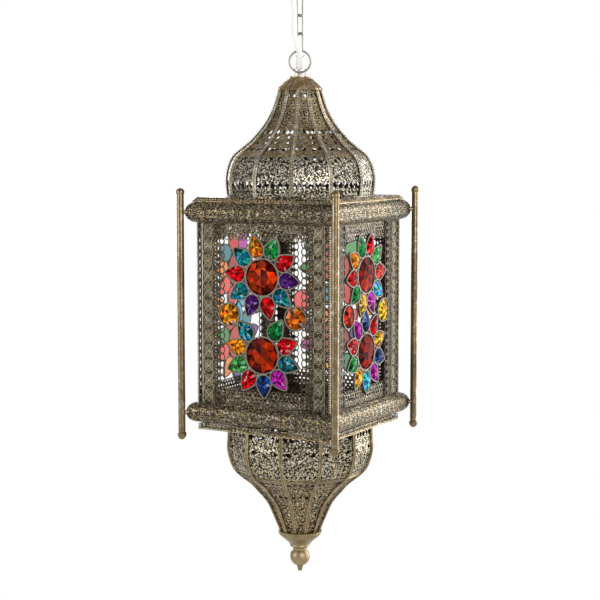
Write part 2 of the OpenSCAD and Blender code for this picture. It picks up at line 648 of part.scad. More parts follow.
// Frame under the body, with the catch that keeps the base shut
module base_frame() color(brass) in_body() at(body_bottom) difference() {
  translate([-half, -half, 0]) cube([body_side, body_side, sheet]);
  translate([-half + 12, -half + 12, -1]) cube([body_side - 24, body_side - 24, sheet + 2]);
}
module base_catch() color(steel) in_body() at(body_bottom - hatch_gap + run) {
  translate([catch_x - catch_w / 2, -half + 3, 0]) cube([catch_w, 8, hatch_gap - run]);
  for (x = [-1, 1]) for (y = [-1, 1]) translate([x * (half - 7), y * (half - 7), 0])
    cylinder(d = 6, h = hatch_gap - run);
}
module hinge_barrel(x0, x1) translate([x0, hinge_y, hinge_z]) rotate([0, 90, 0])
  cylinder(r = knuckle_r, h = x1 - x0);
module base_hinge() color(steel) in_body() {
  third = hinge_len / 3;
  difference() {
    for (s = [-1, 1]) union() {
      hinge_barrel(s > 0 ? third / 2 + run : -hinge_len / 2, s > 0 ? hinge_len / 2 : -third / 2 - run);
      translate([s > 0 ? third / 2 + run : -hinge_len / 2, half - 9, hinge_z + knuckle_r - 1.2])
        cube([third - run, hinge_y - half + 9, 1.2]);
    }
    translate([-third / 2 - run - eps, half - 10, hinge_z - 10])
      cube([third + 2 * run + 2 * eps, 30, 20]);
  }
  translate([-hinge_len / 2 - 0.5, hinge_y, hinge_z]) rotate([0, 90, 0])
    cylinder(d = pin_d, h = hinge_len + 1);
}
module hatch_leaf() color(steel) in_body() difference() {
  third = hinge_len / 3;
  union() {
    hinge_barrel(-third / 2, third / 2);
    translate([-third / 2, half - 13, hatch_top]) cube([third, hinge_y - half + 13, 1]);
  }
  translate([-50, hinge_y, hinge_z]) rotate([0, 90, 0]) cylinder(d = pin_d + 2 * play, h = 100);
}

// Hinged base: a square plate that carries the lower dome, its cup and finial
module base_plate() color(brass) in_body() at(bowl_top) difference() {
  translate([-bowl_r, -bowl_r, 0]) cube([2 * bowl_r, 2 * bowl_r, base_t]);
  at(-1) cylinder(r = bowl_r * cos(180 / gores) - 5, h = base_t + 2, $fn = 96);
}
module under_base() in_body() at(bowl_top) mirror([0, 0, 1]) rotate([0, 0, 180 / gores]) children();
module lower_dome_panels() color(brass) under_base()
  gore_round(outline(BOWL, foot_r, bowl_r, bowl_h));
module lower_dome_ribs() color(brass_light) under_base()
  rib_round(outline(BOWL, foot_r, bowl_r, bowl_h));
module lower_cup() color(brass_light) in_body() at(cup_top) mirror([0, 0, 1]) {
  p = outline(CUP, cup_foot_r, foot_r + cup_lip, cup_h);
  rotate_extrude($fn = 96) difference() {
    polygon(concat([[0, 0]], p, [[0, cup_h]]));
    polygon(concat([[0, 1], [foot_r + 1, 1]],
      [for (q = p) if (q[1] > 1 && q[1] < cup_h - 3) [q[0] - 1.8, q[1]]],
      [[cup_foot_r - 1, cup_h - 2], [0, cup_h - 2]]));
    translate([-eps, -1]) square([foot_r - 4, 3]);
  }
  for (i = [0 : teeth - 1]) rotate([0, 0, 360 * i / teeth]) translate([foot_r + cup_lip - .6, 0, 0])
    cylinder(d = 2.2, h = 1.6, $fn = 16);
}
module finial() color(brass_light) in_body() at(cup_top - cup_h) {
  rotate_extrude() polygon(concat([[0, 0], [cup_foot_r - .4, 0], [cup_foot_r, -1.2],
    [cup_foot_r, -2], [cup_foot_r - .8, -2.8], [finial_neck_d / 2, -4.4],
    [finial_neck_d / 2, -7], [0, -7]]));
  at(-3.4 - ball_d / 2) sphere(d = ball_d);
  at(-3.4 - ball_d - tip_len + .8) cylinder(d1 = 4.5, d2 = 7.8, h = tip_len);
}

ceiling_plate();
ceiling_canopy();
ceiling_hook();
canopy_nut();
cord_grip();
chain_link_3();
chain_link_2();
chain_link_1();
flex_upper();
hanging_ring();
flex_sleeve();
flex_lower();
ring_bracket();
dome_cap();
dome_panels();
dome_ribs();
dome_base_ring();
top_plate();
lamp_bridge();
lampholder();
top_cornice_front();
top_cornice_right();
top_cornice_back();
top_cornice_left();
bottom_cornice_front();
bottom_cornice_right();
bottom_cornice_back();
bottom_cornice_left();
column_front_left();
column_front_right();
column_back_right();
column_back_left();
top_valances();
bottom_valances();
jewel_frame_front();
jewel_frame_right();
jewel_frame_back();
jewel_frame_left();
post_front_left();
post_front_right();
post_back_right();
post_back_left();
post_studs();
base_frame();
base_catch();
base_hinge();
base_plate();
hatch_leaf();
lower_dome_panels();
lower_dome_ribs();
lower_cup();
finial();
glass_red();
glass_amber();
glass_green();
glass_teal();
glass_violet();
glass_blue();
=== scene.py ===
"""Hanging jewelled lantern: pierced brass, coloured glass and its ceiling fitting."""

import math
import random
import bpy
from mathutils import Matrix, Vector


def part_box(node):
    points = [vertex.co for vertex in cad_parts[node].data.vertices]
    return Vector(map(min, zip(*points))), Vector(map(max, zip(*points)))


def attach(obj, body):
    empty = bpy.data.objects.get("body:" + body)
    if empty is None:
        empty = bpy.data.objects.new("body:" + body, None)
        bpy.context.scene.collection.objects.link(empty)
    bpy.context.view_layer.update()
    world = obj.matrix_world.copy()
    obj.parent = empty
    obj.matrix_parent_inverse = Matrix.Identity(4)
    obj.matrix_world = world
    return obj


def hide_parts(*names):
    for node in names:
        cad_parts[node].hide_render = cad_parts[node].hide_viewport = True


bl_info = {
    "name": "Jewelled Hanging Lantern",
    "version": (1, 0, 0),
    "blender": (4, 5, 0),
    "location": "View3D > Sidebar > Lantern",
    "description": "Pierced brass lantern with jewelled panels, hung from a ceiling fitting",
    "category": "Object",
}

import bmesh
import bpy
from bpy.props import FloatProperty, FloatVectorProperty, IntProperty, PointerProperty
from mathutils import Matrix, Vector

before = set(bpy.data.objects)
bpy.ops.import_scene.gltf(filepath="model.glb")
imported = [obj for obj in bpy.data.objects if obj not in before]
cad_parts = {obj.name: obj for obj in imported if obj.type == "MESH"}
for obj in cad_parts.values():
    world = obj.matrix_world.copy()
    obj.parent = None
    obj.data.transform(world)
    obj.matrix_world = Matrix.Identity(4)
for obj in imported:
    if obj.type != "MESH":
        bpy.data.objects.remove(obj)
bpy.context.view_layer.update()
MM = 0.001
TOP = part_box("top_plate")[1].z / MM
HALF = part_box("base_frame")[1].x / MM
QUARTER = math.pi / 2
GORES = 12
GORE_TURN = 2 * math.pi / GORES
CORNICE_OUT, CORNICE_H, STEP_H, STEP_OUT = 10.0, 23.0, 5.0, 4.0
PANEL_TOP, PANEL_FOOT = -28.0, -230.0
BODY_FOOT, BOWL_TOP = -253.0, -260.0
SHEET = 1.2
INNER = HALF - SHEET
SIDES = ("front", "right", "back", "left")
CORNERS = ("front_left", "front_right", "back_right", "back_left")

# Silhouettes as (share of the height, share of the way from the neck to the widest radius)
DOME = [(0, 0.975), (0.09, 0.997), (0.16, 1), (0.24, 0.972), (0.31, 0.926), (0.37, 0.85),
        (0.43, 0.717), (0.5, 0.547), (0.57, 0.422), (0.65, 0.293), (0.74, 0.185),
        (0.85, 0.089), (1, 0)]
BOWL = [(0, 1), (0.1, 1.004), (0.2, 1.016), (0.28, 0.985), (0.35, 0.941), (0.415, 0.863),
        (0.475, 0.726), (0.54, 0.56), (0.61, 0.433), (0.68, 0.309), (0.75, 0.217),
        (0.84, 0.137), (1, 0)]

# Route of the flex beside the chain and into the dome, as (right, back, up) from the ring's
# middle, which is where its two stretches meet, before it is turned about the axis
RING_Z, FLEX_R, FLEX_TURN = -115.2, 3.0, math.radians(30)
FLEX_DOWN = [(0, 0, -146.5), (0, 0, -110), (0, 0, -76), (0, 0.6, -54), (0, 3, -34),
             (0, 4.6, -20), (0, 4.6, -14), (0, 4.6, -9.5), (0, 4, -6.6), (0, 2.6, -4.2)]
FLEX_UP = [(0, -2.6, 4.2), (-0.3, -4.9, 7.9), (-1.2, -7, 12.2), (-3.6, -8.6, 18.6),
           (-5.8, -8.4, 27.5), (-6.6, -7.2, 40), (-6.6, -6.6, 54), (-8, -8, 66),
           (-9.6, -9.6, 78), (-10, -10, 87)]

# Glass of each face: (first petal's angle, centre, ten petals) twice, then the side rounds
FACES = [
    ((31, "o", "reatrtvrtv"), (22, "o", "re-taprbmt"), "an"),
    ((3, "g", "kpreareymc"), (20, "g", "yrbmreycmb"), "oy"),
    ((31, "o", "tovpabrtye"), (22, "g", "va-rbteyrm"), "ak"),
    ((3, "g", "atrmpebcrk"), (20, "o", "erctvrpbak"), "ea"),
]


def point(x, y, z):
    """A place given in millimetres."""
    return Vector((x, y, z)) * MM


def divided(length, n):
    """The marks that divide a length into n, with its ends."""
    return [length * k / n for k in range(n + 1)]


def middles(low, high, n):
    """The middles of n even steps from low to high."""
    return [low + (high - low) * (i + 0.5) / n for i in range(n)]


# ---- shapes on the flat
def both_sides(edge):
    """An outline from its right edge, going up, and the mirrored left edge, going down."""
    return edge + [(-u, v) for u, v in edge[::-1]]


def around(n, start=0.0):
    """The angles of n even steps round a circle."""
    return [2 * math.pi * (i + start) / n for i in range(n)]


def placed(points, x, y, turn):
    """Points turned about the origin and moved to (x, y)."""
    c, s = math.cos(turn), math.sin(turn)
    return [(x + p * c - q * s, y + p * s + q * c) for p, q in points]


def bow(x, y, r, low, high, n):
    """Points along an arc of an oval round (x, y), n steps from one angle to the other."""
    return [(x + r[0] * math.cos(a), y + r[1] * math.sin(a))
            for a in (low + (high - low) * k / n for k in range(n + 1))]


def ring(x, y, r, n=8):
    """A round hole, or an oval one where r is a pair."""
    rx, ry = r if isinstance(r, tuple) else (r, r)
    return [(x + rx * math.cos(a), y + ry * math.sin(a)) for a in around(n, 0.5)]


def leaf(x, y, length, width, turn, n=4):
    """An almond hole with its points along turn."""
    side = [(length * (t - 0.5), width / 2 * math.sin(math.pi * t) ** 0.8)
            for t in (i / n for i in range(n))]
    return placed(side + [(-p, -q) for p, q in side], x, y, turn)


def drop(x, y, length, width, turn, n=5):
    """A teardrop hole with its point along turn."""
    bulb = [math.radians(70) + math.radians(220) * i / n for i in range(n + 1)]
    points = [(length * 0.6, 0)] + [(width / 2 * math.cos(a) - length * 0.12,
                                     width / 2 * math.sin(a)) for a in bulb]
    return placed(points, x, y, turn)


def wheel(shape, angles, x, y, reach, length, width, lean):
    """Holes of one shape round (x, y), each leaning from its own ray."""
    return [shape(x + reach[0] * math.cos(a), y + reach[1] * math.sin(a), length, width,
                  a + lean) for a in angles]


def rosette(x, y, r, petals=6, turn=0.0):
    """A centre hole with a wheel of petal holes."""
    return [ring(x, y, r * 0.2, 6)] + wheel(
        drop, [turn + a for a in around(petals)], x, y, (r * 0.6, r * 0.6), r * 0.62,
        r * min(0.46, 2.5 / petals), math.pi)


def medallion(x, y, r):
    """A rosette inside a wheel of leaves."""
    return rosette(x, y, r * 0.52, 8) + wheel(
        leaf, around(12, 0.5), x, y, (r * 0.8, r * 0.8), r * 0.4, r * 0.2, 0.5)


def lace(holes, inside, box, pitch, size, seed):
    """Fills what is left between the holes with small leaves, turned at random."""
    rng = random.Random(seed)
    drift, gap, rim = 0.2, 0.3, 0.5
    spots = []
    for hole in holes:
        x, y = (sum(p[i] for p in hole) / len(hole) for i in (0, 1))
        spots.append((x, y, max(math.hypot(p[0] - x, p[1] - y) for p in hole)))
    x0, y0, x1, y1 = box
    for j in range(int((y1 - y0) / pitch) + 1):
        for i in range(int((x1 - x0) / pitch) + 2):
            x = x0 + pitch * (i + 0.5 * (j % 2)) + rng.uniform(-drift, drift) * pitch
            y = y0 + pitch * j + rng.uniform(-drift, drift) * pitch
            long = size * rng.uniform(0.75, 1.15)
            turn = rng.uniform(0, math.pi)
            r = long / 2
            if inside(x, y, r + rim) and all(math.hypot(x - a, y - b) > r + c + gap
                                             for a, b, c in spots):
                holes.append(leaf(x, y, long, long * 0.55, turn, 3))
                spots.append((x, y, r * 0.7))
    return holes


def smooth_line(points, n):
    """A Catmull-Rom curve through points of any dimension."""
    pts = [Vector(p) for p in points]
    out = []
    for i in range(len(pts) - 1):
        a, b = pts[max(i - 1, 0)], pts[i]
        c, d = pts[i + 1], pts[min(i + 2, len(pts) - 1)]
        for k in range(n):
            t = k / n
            out.append(0.5 * (2 * b + t * (c - a) + t * t * (2 * a - 5 * b + 4 * c - d)
                              + t ** 3 * (3 * b - 3 * c + d - a)))
    return out + [pts[-1]]


class Profile:
    """A line of points, measured along its arc in millimetres."""

    def __init__(self, line):
        self.line, self.run = line, [0.0]
        for a, b in zip(line, line[1:]):
            self.run.append(self.run[-1] + (b - a).length)
        self.length = self.run[-1]

    def at(self, v):
        """The point at arc length v."""
        v = min(max(v, 0.0), self.length)
        i = next(k for k in range(1, len(self.run)) if self.run[k] >= v - 1e-9)
        t = (v - self.run[i - 1]) / (self.run[i] - self.run[i - 1])
        return self.line[i - 1].lerp(self.line[i], t)


class Meridian(Profile):
    """The line of a dome's seams as (radius, height) from its foot, and its first seam's turn."""

    def __init__(self, shape, neck, wide, height, foot, up, turn):
        super().__init__(smooth_line([(neck + (wide - neck) * s, height * t)
                                      for t, s in shape], 4))
        self.foot, self.up, self.turn = foot, up, turn

    def arc(self, h):
        """The arc length at height h."""
        for i, (a, b) in enumerate(zip(self.line, self.line[1:])):
            if b.y >= h:
                t = (h - a.y) / (b.y - a.y)
                return self.run[i] + t * (self.run[i + 1] - self.run[i])
        return self.length

    def half_width(self, v):
        """Half the width of a gore's sheet at arc length v, less a joint under the rib."""
        return self.at(v).x * math.sin(math.pi / GORES) - 0.4

    def seam(self, v, lift, along=0.0, share=1.0):
        """A point over a seam that faces +X, with its radius cut to a share before the lift."""
        d = (self.at(v + 0.5) - self.at(v - 0.5)).normalized()
        r, h = self.at(v)
        return point(r * share + d.y * lift, along,
                     TOP + self.foot + self.up * (h - d.x * lift))

    def place(self, u, v, lift=0.0):
        """A point of a gore's sheet, with the gore facing +X."""
        return self.seam(v, lift, u, math.cos(math.pi / GORES))


# The upper dome is 82 mm in radius at its foot, which DOME puts at 0.975 of its way out
UPPER = Meridian(DOME, neck=22.8, wide=22.8 + 59.2 / 0.975, height=116.5, foot=2.0, up=1,
                 turn=math.radians(23))
LOWER = Meridian(BOWL, neck=21.6, wide=83.0, height=125.5, foot=BOWL_TOP, up=-1,
                 turn=math.radians(15))


# ---- mesh helpers
def linked(name, data):
    """An object of the data, in the scene."""
    obj = bpy.data.objects.new(name, data)
    bpy.context.scene.collection.objects.link(obj)
    return obj


def to_mesh(name, bm):
    """Makes a bmesh a mesh, and uses the bmesh up."""
    mesh = bpy.data.meshes.new(name)
    bm.to_mesh(mesh)
    bm.free()
    return mesh


def everything(bm):
    """All that is in bm, as its operators take it."""
    return bm.verts[:] + bm.edges[:] + bm.faces[:]


def trace(data, lines, closed=False):
    """Lays lines of points into a curve."""
    for points in lines:
        line = data.splines.new("POLY")
        line.points.add(len(points) - 1)
        for p, q in zip(line.points, points):
            p.co = (*Vector(q).to_3d(), 1)
        line.use_cyclic_u = closed


def meshed(data):
    """Makes a curve a bmesh, and uses the curve up."""
    obj = linked(data.name, data)
    shown = obj.evaluated_get(bpy.context.evaluated_depsgraph_get())
    mesh = bpy.data.meshes.new_from_object(shown)
    bm = bmesh.new()
    bm.from_mesh(mesh)
    bpy.data.objects.remove(obj)
    bpy.data.curves.remove(data)
    bpy.data.meshes.remove(mesh)
    return bm


def pierced(outline, holes):
    """A flat sheet with holes, as a bmesh facing +Z."""
    data = bpy.data.curves.new("flat", "CURVE")
    data.dimensions, data.fill_mode = "2D", "BOTH"
    trace(data, [outline, *holes], closed=True)
    bm = meshed(data)
    bmesh.ops.remove_doubles(bm, verts=bm.verts[:], dist=1e-4)
    bmesh.ops.reverse_faces(bm, faces=[f for f in bm.faces if f.normal.z < 0])
    return bm


def tube(name, lines, r, rounding=1):
    """Round wires along lines of points, as a curve."""
    data = bpy.data.curves.new(name, "CURVE")
    data.dimensions = "3D"
    data.bevel_depth, data.bevel_resolution = r * MM, rounding
    data.use_fill_caps = True
    trace(data, lines)
    return data


def wires(lines, r):
    """Round wires along lines of points, as one bmesh."""
    return meshed(tube("wires", lines, r))


def slice_at(bm, values, axis):
    """Cuts a flat sheet along lines, so that it can bend there."""
    normal = Vector((1, 0, 0)) if axis == 0 else Vector((0, 1, 0))
    for v in values:
        bmesh.ops.bisect_plane(bm, geom=everything(bm), dist=1e-5, plane_co=normal * v,
                               plane_no=normal)


def bend(bm, where):
    """Takes a flat sheet to its place, point by point."""
    for v in bm.verts:
        v.co = where(v.co.x, v.co.y)


def copies(bm, count, step):
    """Adds copies of everything in bm, each turned by one more step about the Z axis."""
    bmesh.ops.spin(bm, geom=everything(bm), cent=(0, 0, 0), axis=(0, 0, 1),
                   angle=step * (count - 1), steps=count - 1, use_duplicate=True)


def turned(bm, angle):
    """Turns everything in bm about the Z axis."""
    bmesh.ops.rotate(bm, cent=(0, 0, 0), matrix=Matrix.Rotation(angle, 3, "Z"), verts=bm.verts[:])


def bead(bm, at, r):
    """A small ball of twenty faces."""
    bmesh.ops.create_icosphere(bm, subdivisions=1, radius=r * MM, matrix=Matrix.Translation(at))


def join(bm, other):
    """Adds another bmesh to bm, and uses it up."""
    mesh = to_mesh("part", other)
    bm.from_mesh(mesh)
    bpy.data.meshes.remove(mesh)


def piece(name, bm, finish, body="lantern", replaced=(), thick=0.0,
          smooth=None):
    """Makes an object of bm, gives it its finish and has it ride on its body."""
    mesh = to_mesh(name, bm)
    mesh.materials.append(finish)
    obj = linked(name, mesh)
    if smooth is not None:
        mesh.shade_smooth()
        mesh.set_sharp_from_angle(angle=math.radians(smooth))
    if thick:
        wall = obj.modifiers.new("Wall", "SOLIDIFY")
        wall.thickness, wall.offset = thick * MM, -1
        wall.use_even_offset = False
    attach(obj, body)
    if replaced:
        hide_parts(*replaced)


def dress(finish, *names):
    """Gives CAD nodes a finish."""
    for name in names:
        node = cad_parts[name]
        if not node.material_slots:
            node.data.materials.append(finish)
        for s in node.material_slots:
            s.material = finish


# ---- finishes
class Level:
    """A shader value that takes part in ordinary sums."""

    def __init__(self, nodes, socket):
        self.nodes, self.socket = nodes, socket

    def _sum(self, operation, *values):
        return self.nodes.add("ShaderNodeMath", {"operation": operation},
                              dict(enumerate(values)))

    def __add__(self, other):
        return self._sum("ADD", self, other)

    def __sub__(self, other):
        return self._sum("SUBTRACT", self, other)

    def __rsub__(self, other):
        return self._sum("SUBTRACT", other, self)

    def __mul__(self, other):
        return self._sum("MULTIPLY", self, other)

    __radd__, __rmul__ = __add__, __mul__

    def over(self, edge, soft):
        """0 below edge and 1 above it, over a soft step."""
        return self.nodes.add("ShaderNodeMapRange", {"interpolation_type": "SMOOTHSTEP"},
                              {"Value": self, "From Min": edge - soft, "From Max": edge + soft})


class Nodes:
    """A node tree built up from empty."""

    def __init__(self, tree):
        self.tree = tree
        tree.nodes.clear()

    def fill(self, node, values):
        """Sets or links a node's sockets."""
        for key, value in values.items():
            if isinstance(value, Level):
                self.tree.links.new(value.socket, node.inputs[key])
            else:
                node.inputs[key].default_value = value

    def node(self, kind, settings, inputs):
        """A node with its settings, then the values or links of its sockets."""
        node = self.tree.nodes.new(kind)
        for key, value in settings.items():
            setattr(node, key, value)
        self.fill(node, inputs)
        return node

    def add(self, kind, settings, inputs, output=0):
        """One output of a new node."""
        return Level(self, self.node(kind, settings, inputs).outputs[output])


class Finish(Nodes):
    """A material, its Principled shader and the object's own coordinates."""

    def __init__(self, name):
        self.material = bpy.data.materials.new(name)
        self.material.use_nodes = True
        super().__init__(self.material.node_tree)
        self.shader = self.node("ShaderNodeBsdfPrincipled", {}, {})
        self.out = self.node("ShaderNodeOutputMaterial", {},
                             {0: Level(self, self.shader.outputs[0])})
        self.place = self.add("ShaderNodeTexCoord", {}, {}, "Object")

    def set(self, **values):
        """Sets the shader's sockets; a name's underscores stand for spaces."""
        self.fill(self.shader, {key.replace("_", " "): v for key, v in values.items()})

    def noise(self, scale, detail=2.0, rough=0.5):
        """Cloudy variation, scale to a metre."""
        return self.add("ShaderNodeTexNoise", {}, {"Vector": self.place, "Scale": scale,
                                                   "Detail": detail, "Roughness": rough})

    def cells(self, scale):
        """Distance from the middle of the nearest cell, scale to a metre."""
        return self.add("ShaderNodeTexVoronoi", {}, {"Vector": self.place, "Scale": scale})

    def mix(self, factor, a, b):
        """Colours a and b mixed by a value."""
        a, b = (c if isinstance(c, Level) else (*c, 1) for c in (a, b))
        return self.add("ShaderNodeMix", {"data_type": "RGBA"}, {0: factor, 6: a, 7: b}, 2)

    def bump(self, height, depth):
        return self.add("ShaderNodeBump", {}, {"Height": height, "Distance": depth,
                                               "Strength": 1.0})


def scaled(colour, k):
    """A colour made k times as bright."""
    return tuple(min(1.0, c * k) for c in colour)


def tooled(f, shade, colour, wear_and_sheen, field):
    """A dome's painted sheen, glints and shade laid over a shade, and how far the sheet stands
    proud.
    """
    low, high, plain = field
    height = f.add("ShaderNodeSeparateXYZ", {}, {"Vector": f.place}, "Z")
    # A band between two heights gets a painted silvery sheen
    brightened = height.over(low * MM, 0.003) * (1.0 - height.over(high * MM, 0.004))
    dense = brightened * (1.0 - plain) + plain
    # Hollows get painted shade, almost black
    shaded_hollow = dense * (f.cells(330.0).over(0.43, 0.06) * 0.97)
    # Small specks get painted glints, pale in the band and golden elsewhere
    glints = dense * (1.0 - f.cells(640.0).over(0.34, 0.05)) * 0.86
    shade = f.mix(shaded_hollow, f.mix(brightened * 0.45, shade, wear_and_sheen), scaled(colour, 0.06))
    shade = f.mix(glints, shade, f.mix(brightened, (0.84, 0.67, 0.39), scaled(wear_and_sheen, 1.6)))
    # The side of the sheet that faces the axis gets painted shade, near black
    level = f.add("ShaderNodeVectorMath", {"operation": "MULTIPLY"}, {0: f.place, 1: (1, 1, 0)})
    facing = f.add("ShaderNodeTexCoord", {}, {}, "Normal")
    outward = f.add("ShaderNodeVectorMath", {"operation": "DOT_PRODUCT"},
                    {0: facing, 1: level}, "Value")
    inside = 1.0 - outward.over(0.0, 0.001)
    return f.mix(inside * 0.9, shade, scaled(colour, 0.05)), 1.0 - shaded_hollow


def punched(f, shade, colour, wear_and_sheen, cells):
    """Pits of painted shade and specks of painted glint laid over a shade, and how far the metal
    round them stands proud.
    """
    shaded_pits = f.cells(cells).over(0.48, 0.08)
    glint_dots = 1.0 - f.cells(cells * 2.1).over(0.26, 0.06)
    shade = f.mix(shaded_pits * 0.94, shade, scaled(colour, 0.1))
    return f.mix(glint_dots * 0.85, shade, scaled(wear_and_sheen, 1.6)), (1.0 - shaded_pits) * 1.8 + glint_dots * 1.3


def aged_brass(name, colour, wear_and_sheen, stamped=0.0, rough=0.36, field=None):
    """Aged sheet brass: cloudy patina and patches of wear, with painted shade in its pits and
    hollows and painted glints on its raised specks.

    stamped is the number of punched cells to a metre; their pits get painted shade and
    their specks painted glints. field gives the heights in millimetres of a dome's band of
    painted silvery sheen, and how deep its tooling, with its painted shade and glints, is
    elsewhere; a dome's inside gets painted shade.
    """
    f = Finish(name)
    patina = f.noise(26.0, 4.0, 0.6)
    grain = f.noise(430.0, 3.0, 0.65)
    mottle = f.noise(130.0, 3.0, 0.6)
    shade = f.mix(patina.over(0.5, 0.2), scaled(colour, 0.7), scaled(colour, 1.25))
    shade = f.mix(mottle.over(0.6, 0.1) * 0.5, shade, wear_and_sheen)
    relief, depth = grain * 0.35 + mottle * 0.5, 0.00025
    if field:
        shade, proud = tooled(f, shade, colour, wear_and_sheen, field)
        relief, depth = relief + proud * 1.4, 0.0006
    if stamped:
        shade, proud = punched(f, shade, colour, wear_and_sheen, stamped)
        relief, depth = relief + proud, 0.0006
    else:
        shade = f.mix((1.0 - grain.over(0.4, 0.08)) * 0.5, shade, scaled(colour, 0.35))
    f.set(Base_Color=shade, Metallic=0.84, Roughness=grain * 0.3 + (rough - 0.15),
          Normal=f.bump(relief, depth))
    return f.material


def plain_metal(name, colour, rough):
    """Drawn wire and plate with a faint haze and fine scratches."""
    f = Finish(name)
    haze = f.noise(70.0, 4.0, 0.6)
    grain = f.noise(700.0, 2.0, 0.6)
    shade = f.mix(haze.over(0.5, 0.25), scaled(colour, 0.75), scaled(colour, 1.15))
    f.set(Base_Color=shade, Metallic=0.9, Roughness=haze * 0.2 + (rough - 0.1),
          Normal=f.bump(grain, 0.00008))
    return f.material


def white_plastic(name, colour):
    """Clean, slightly grained plastic."""
    f = Finish(name)
    haze = f.noise(60.0, 3.0, 0.5)
    f.set(Base_Color=f.mix(haze, scaled(colour, 0.95), scaled(colour, 1.04)),
          Roughness=haze * 0.15 + 0.3, Normal=f.bump(f.noise(900.0), 0.00003))
    return f.material


def cut_glass(name):
    """Coloured cut glass; each facet carries its own colour with painted light and shade, and a
    painted glow.
    """
    f = Finish(name)
    tint_and_shading = f.add("ShaderNodeAttribute", {"attribute_name": "tint_and_shading"}, {}, "Color")
    cloud = f.noise(140.0, 2.0)
    glow = f.add("ShaderNodeAttribute", {"attribute_name": "glow"}, {}, "Color")
    # The glow is painted light given off as emission; the glass is no lamp
    f.set(Base_Color=f.mix(cloud.over(0.62, 0.12) * 0.3, tint_and_shading, (0.02, 0.015, 0.012)),
          Roughness=0.1, Transmission_Weight=0.04, IOR=1.45, Specular_IOR_Level=0.01,
          Emission_Color=glow, Emission_Strength=0.75)
    return f.material


# ---- settings
class LanternMetal(bpy.types.PropertyGroup):
    """Colours of the metal."""

    brass: FloatVectorProperty(name="Brass", description="Aged brass of the sheet",
                               subtype="COLOR", size=3, default=(0.255, 0.188, 0.094))
    # Also the colour of the painted sheen and painted glints on the stamped and tooled sheet
    wear_and_sheen: FloatVectorProperty(name="Worn brass", description="Where the brass is rubbed bright",
                              subtype="COLOR", size=3, default=(0.66, 0.61, 0.5))
    tin: FloatVectorProperty(name="Bezel", description="Tinned wire round the glass",
                             subtype="COLOR", size=3, default=(0.13, 0.114, 0.088))
    steel: FloatVectorProperty(name="Chain", description="Chain, ring and hinge",
                               subtype="COLOR", size=3, default=(0.3, 0.28, 0.23))
    flex: FloatVectorProperty(name="Flex", description="Flex, sleeve and lampholder",
                              subtype="COLOR", size=3, default=(0.82, 0.82, 0.81))


class LanternPiercing(bpy.types.PropertyGroup):
    """Sizes of the piercing."""

    sheet: FloatProperty(name="Sheet", description="Thickness of pierced sheet, in mm",
                         default=0.9, min=0.4, max=1.2)
    cornice_pitch: FloatProperty(name="Cornice pitch", description="Pattern repeat, in mm",
                                 default=10.5, min=8.0, max=21.0)
    column_pitch: FloatProperty(name="Column pitch", description="Edge hole repeat, in mm",
                                default=8.0, min=6.0, max=12.0)
    bead: FloatProperty(name="Bead", description="Radius of the beads on the ribs, in mm",
                        default=1.25, min=0.8, max=2.0)


class LanternGlass(bpy.types.PropertyGroup):
    """How the glass is cut."""

    facets: IntProperty(name="Facets", description="Facets round a glass", default=16, min=8,
                        max=24)
    rise: FloatProperty(name="Rise", description="Height of the cut crown, in mm", default=2.0,
                        min=1.0, max=3.0)


def metal():
    return bpy.context.scene.lantern_metal


def piercing():
    return bpy.context.scene.lantern_piercing


# Glass by letter: its name, its colour group and its colour
GLASS = {
    "r": ("ruby", "red", (0.7, 0.003, 0.007)),
    "o": ("garnet", "red", (0.47, 0.026, 0.002)),
    "g": ("dark_garnet", "red", (0.33, 0.012, 0.003)),
    "k": ("rose", "red", (0.9, 0.07, 0.06)),
    "a": ("amber", "amber", (0.9, 0.26, 0.008)),
    "n": ("topaz", "amber", (0.75, 0.16, 0.008)),
    "y": ("citrine", "amber", (0.95, 0.5, 0.02)),
    "e": ("emerald", "green", (0.006, 0.26, 0.05)),
    "p": ("peridot", "green", (0.08, 0.38, 0.1)),
    "t": ("teal", "teal", (0.01, 0.22, 0.27)),
    "c": ("aqua", "teal", (0.03, 0.42, 0.6)),
    "v": ("amethyst", "violet", (0.11, 0.017, 0.21)),
    "m": ("magenta", "violet", (0.5, 0.014, 0.36)),
    "b": ("sapphire", "blue", (0.014, 0.06, 0.27)),
}
# The glass of each group that stands in for the group's CAD node
LEADING = "raetvb"


# ---- piercing patterns
def row(m, h, n, edge):
    """Places across a gore at height h, as (u, v) of each of n even steps."""
    v = m.arc(h)
    w = m.half_width(v) - edge
    return [(-w + w * (2 * i + 1) / n, v) for i in range(n)]


def tumbling(m, h, n, edge, length, width):
    """A row of drops that point up and down in turn."""
    return [drop(u, v, length, width, QUARTER * (-1) ** i)
            for i, (u, v) in enumerate(row(m, h, n, edge))]


def within(m, edge, low, high):
    """A test of whether a hole of radius r at (u, v) stays on the sheet between heights."""
    a, b = m.arc(low), m.arc(high)
    return lambda u, v, r: a + r < v < b - r and abs(u) < m.half_width(v) - edge - r


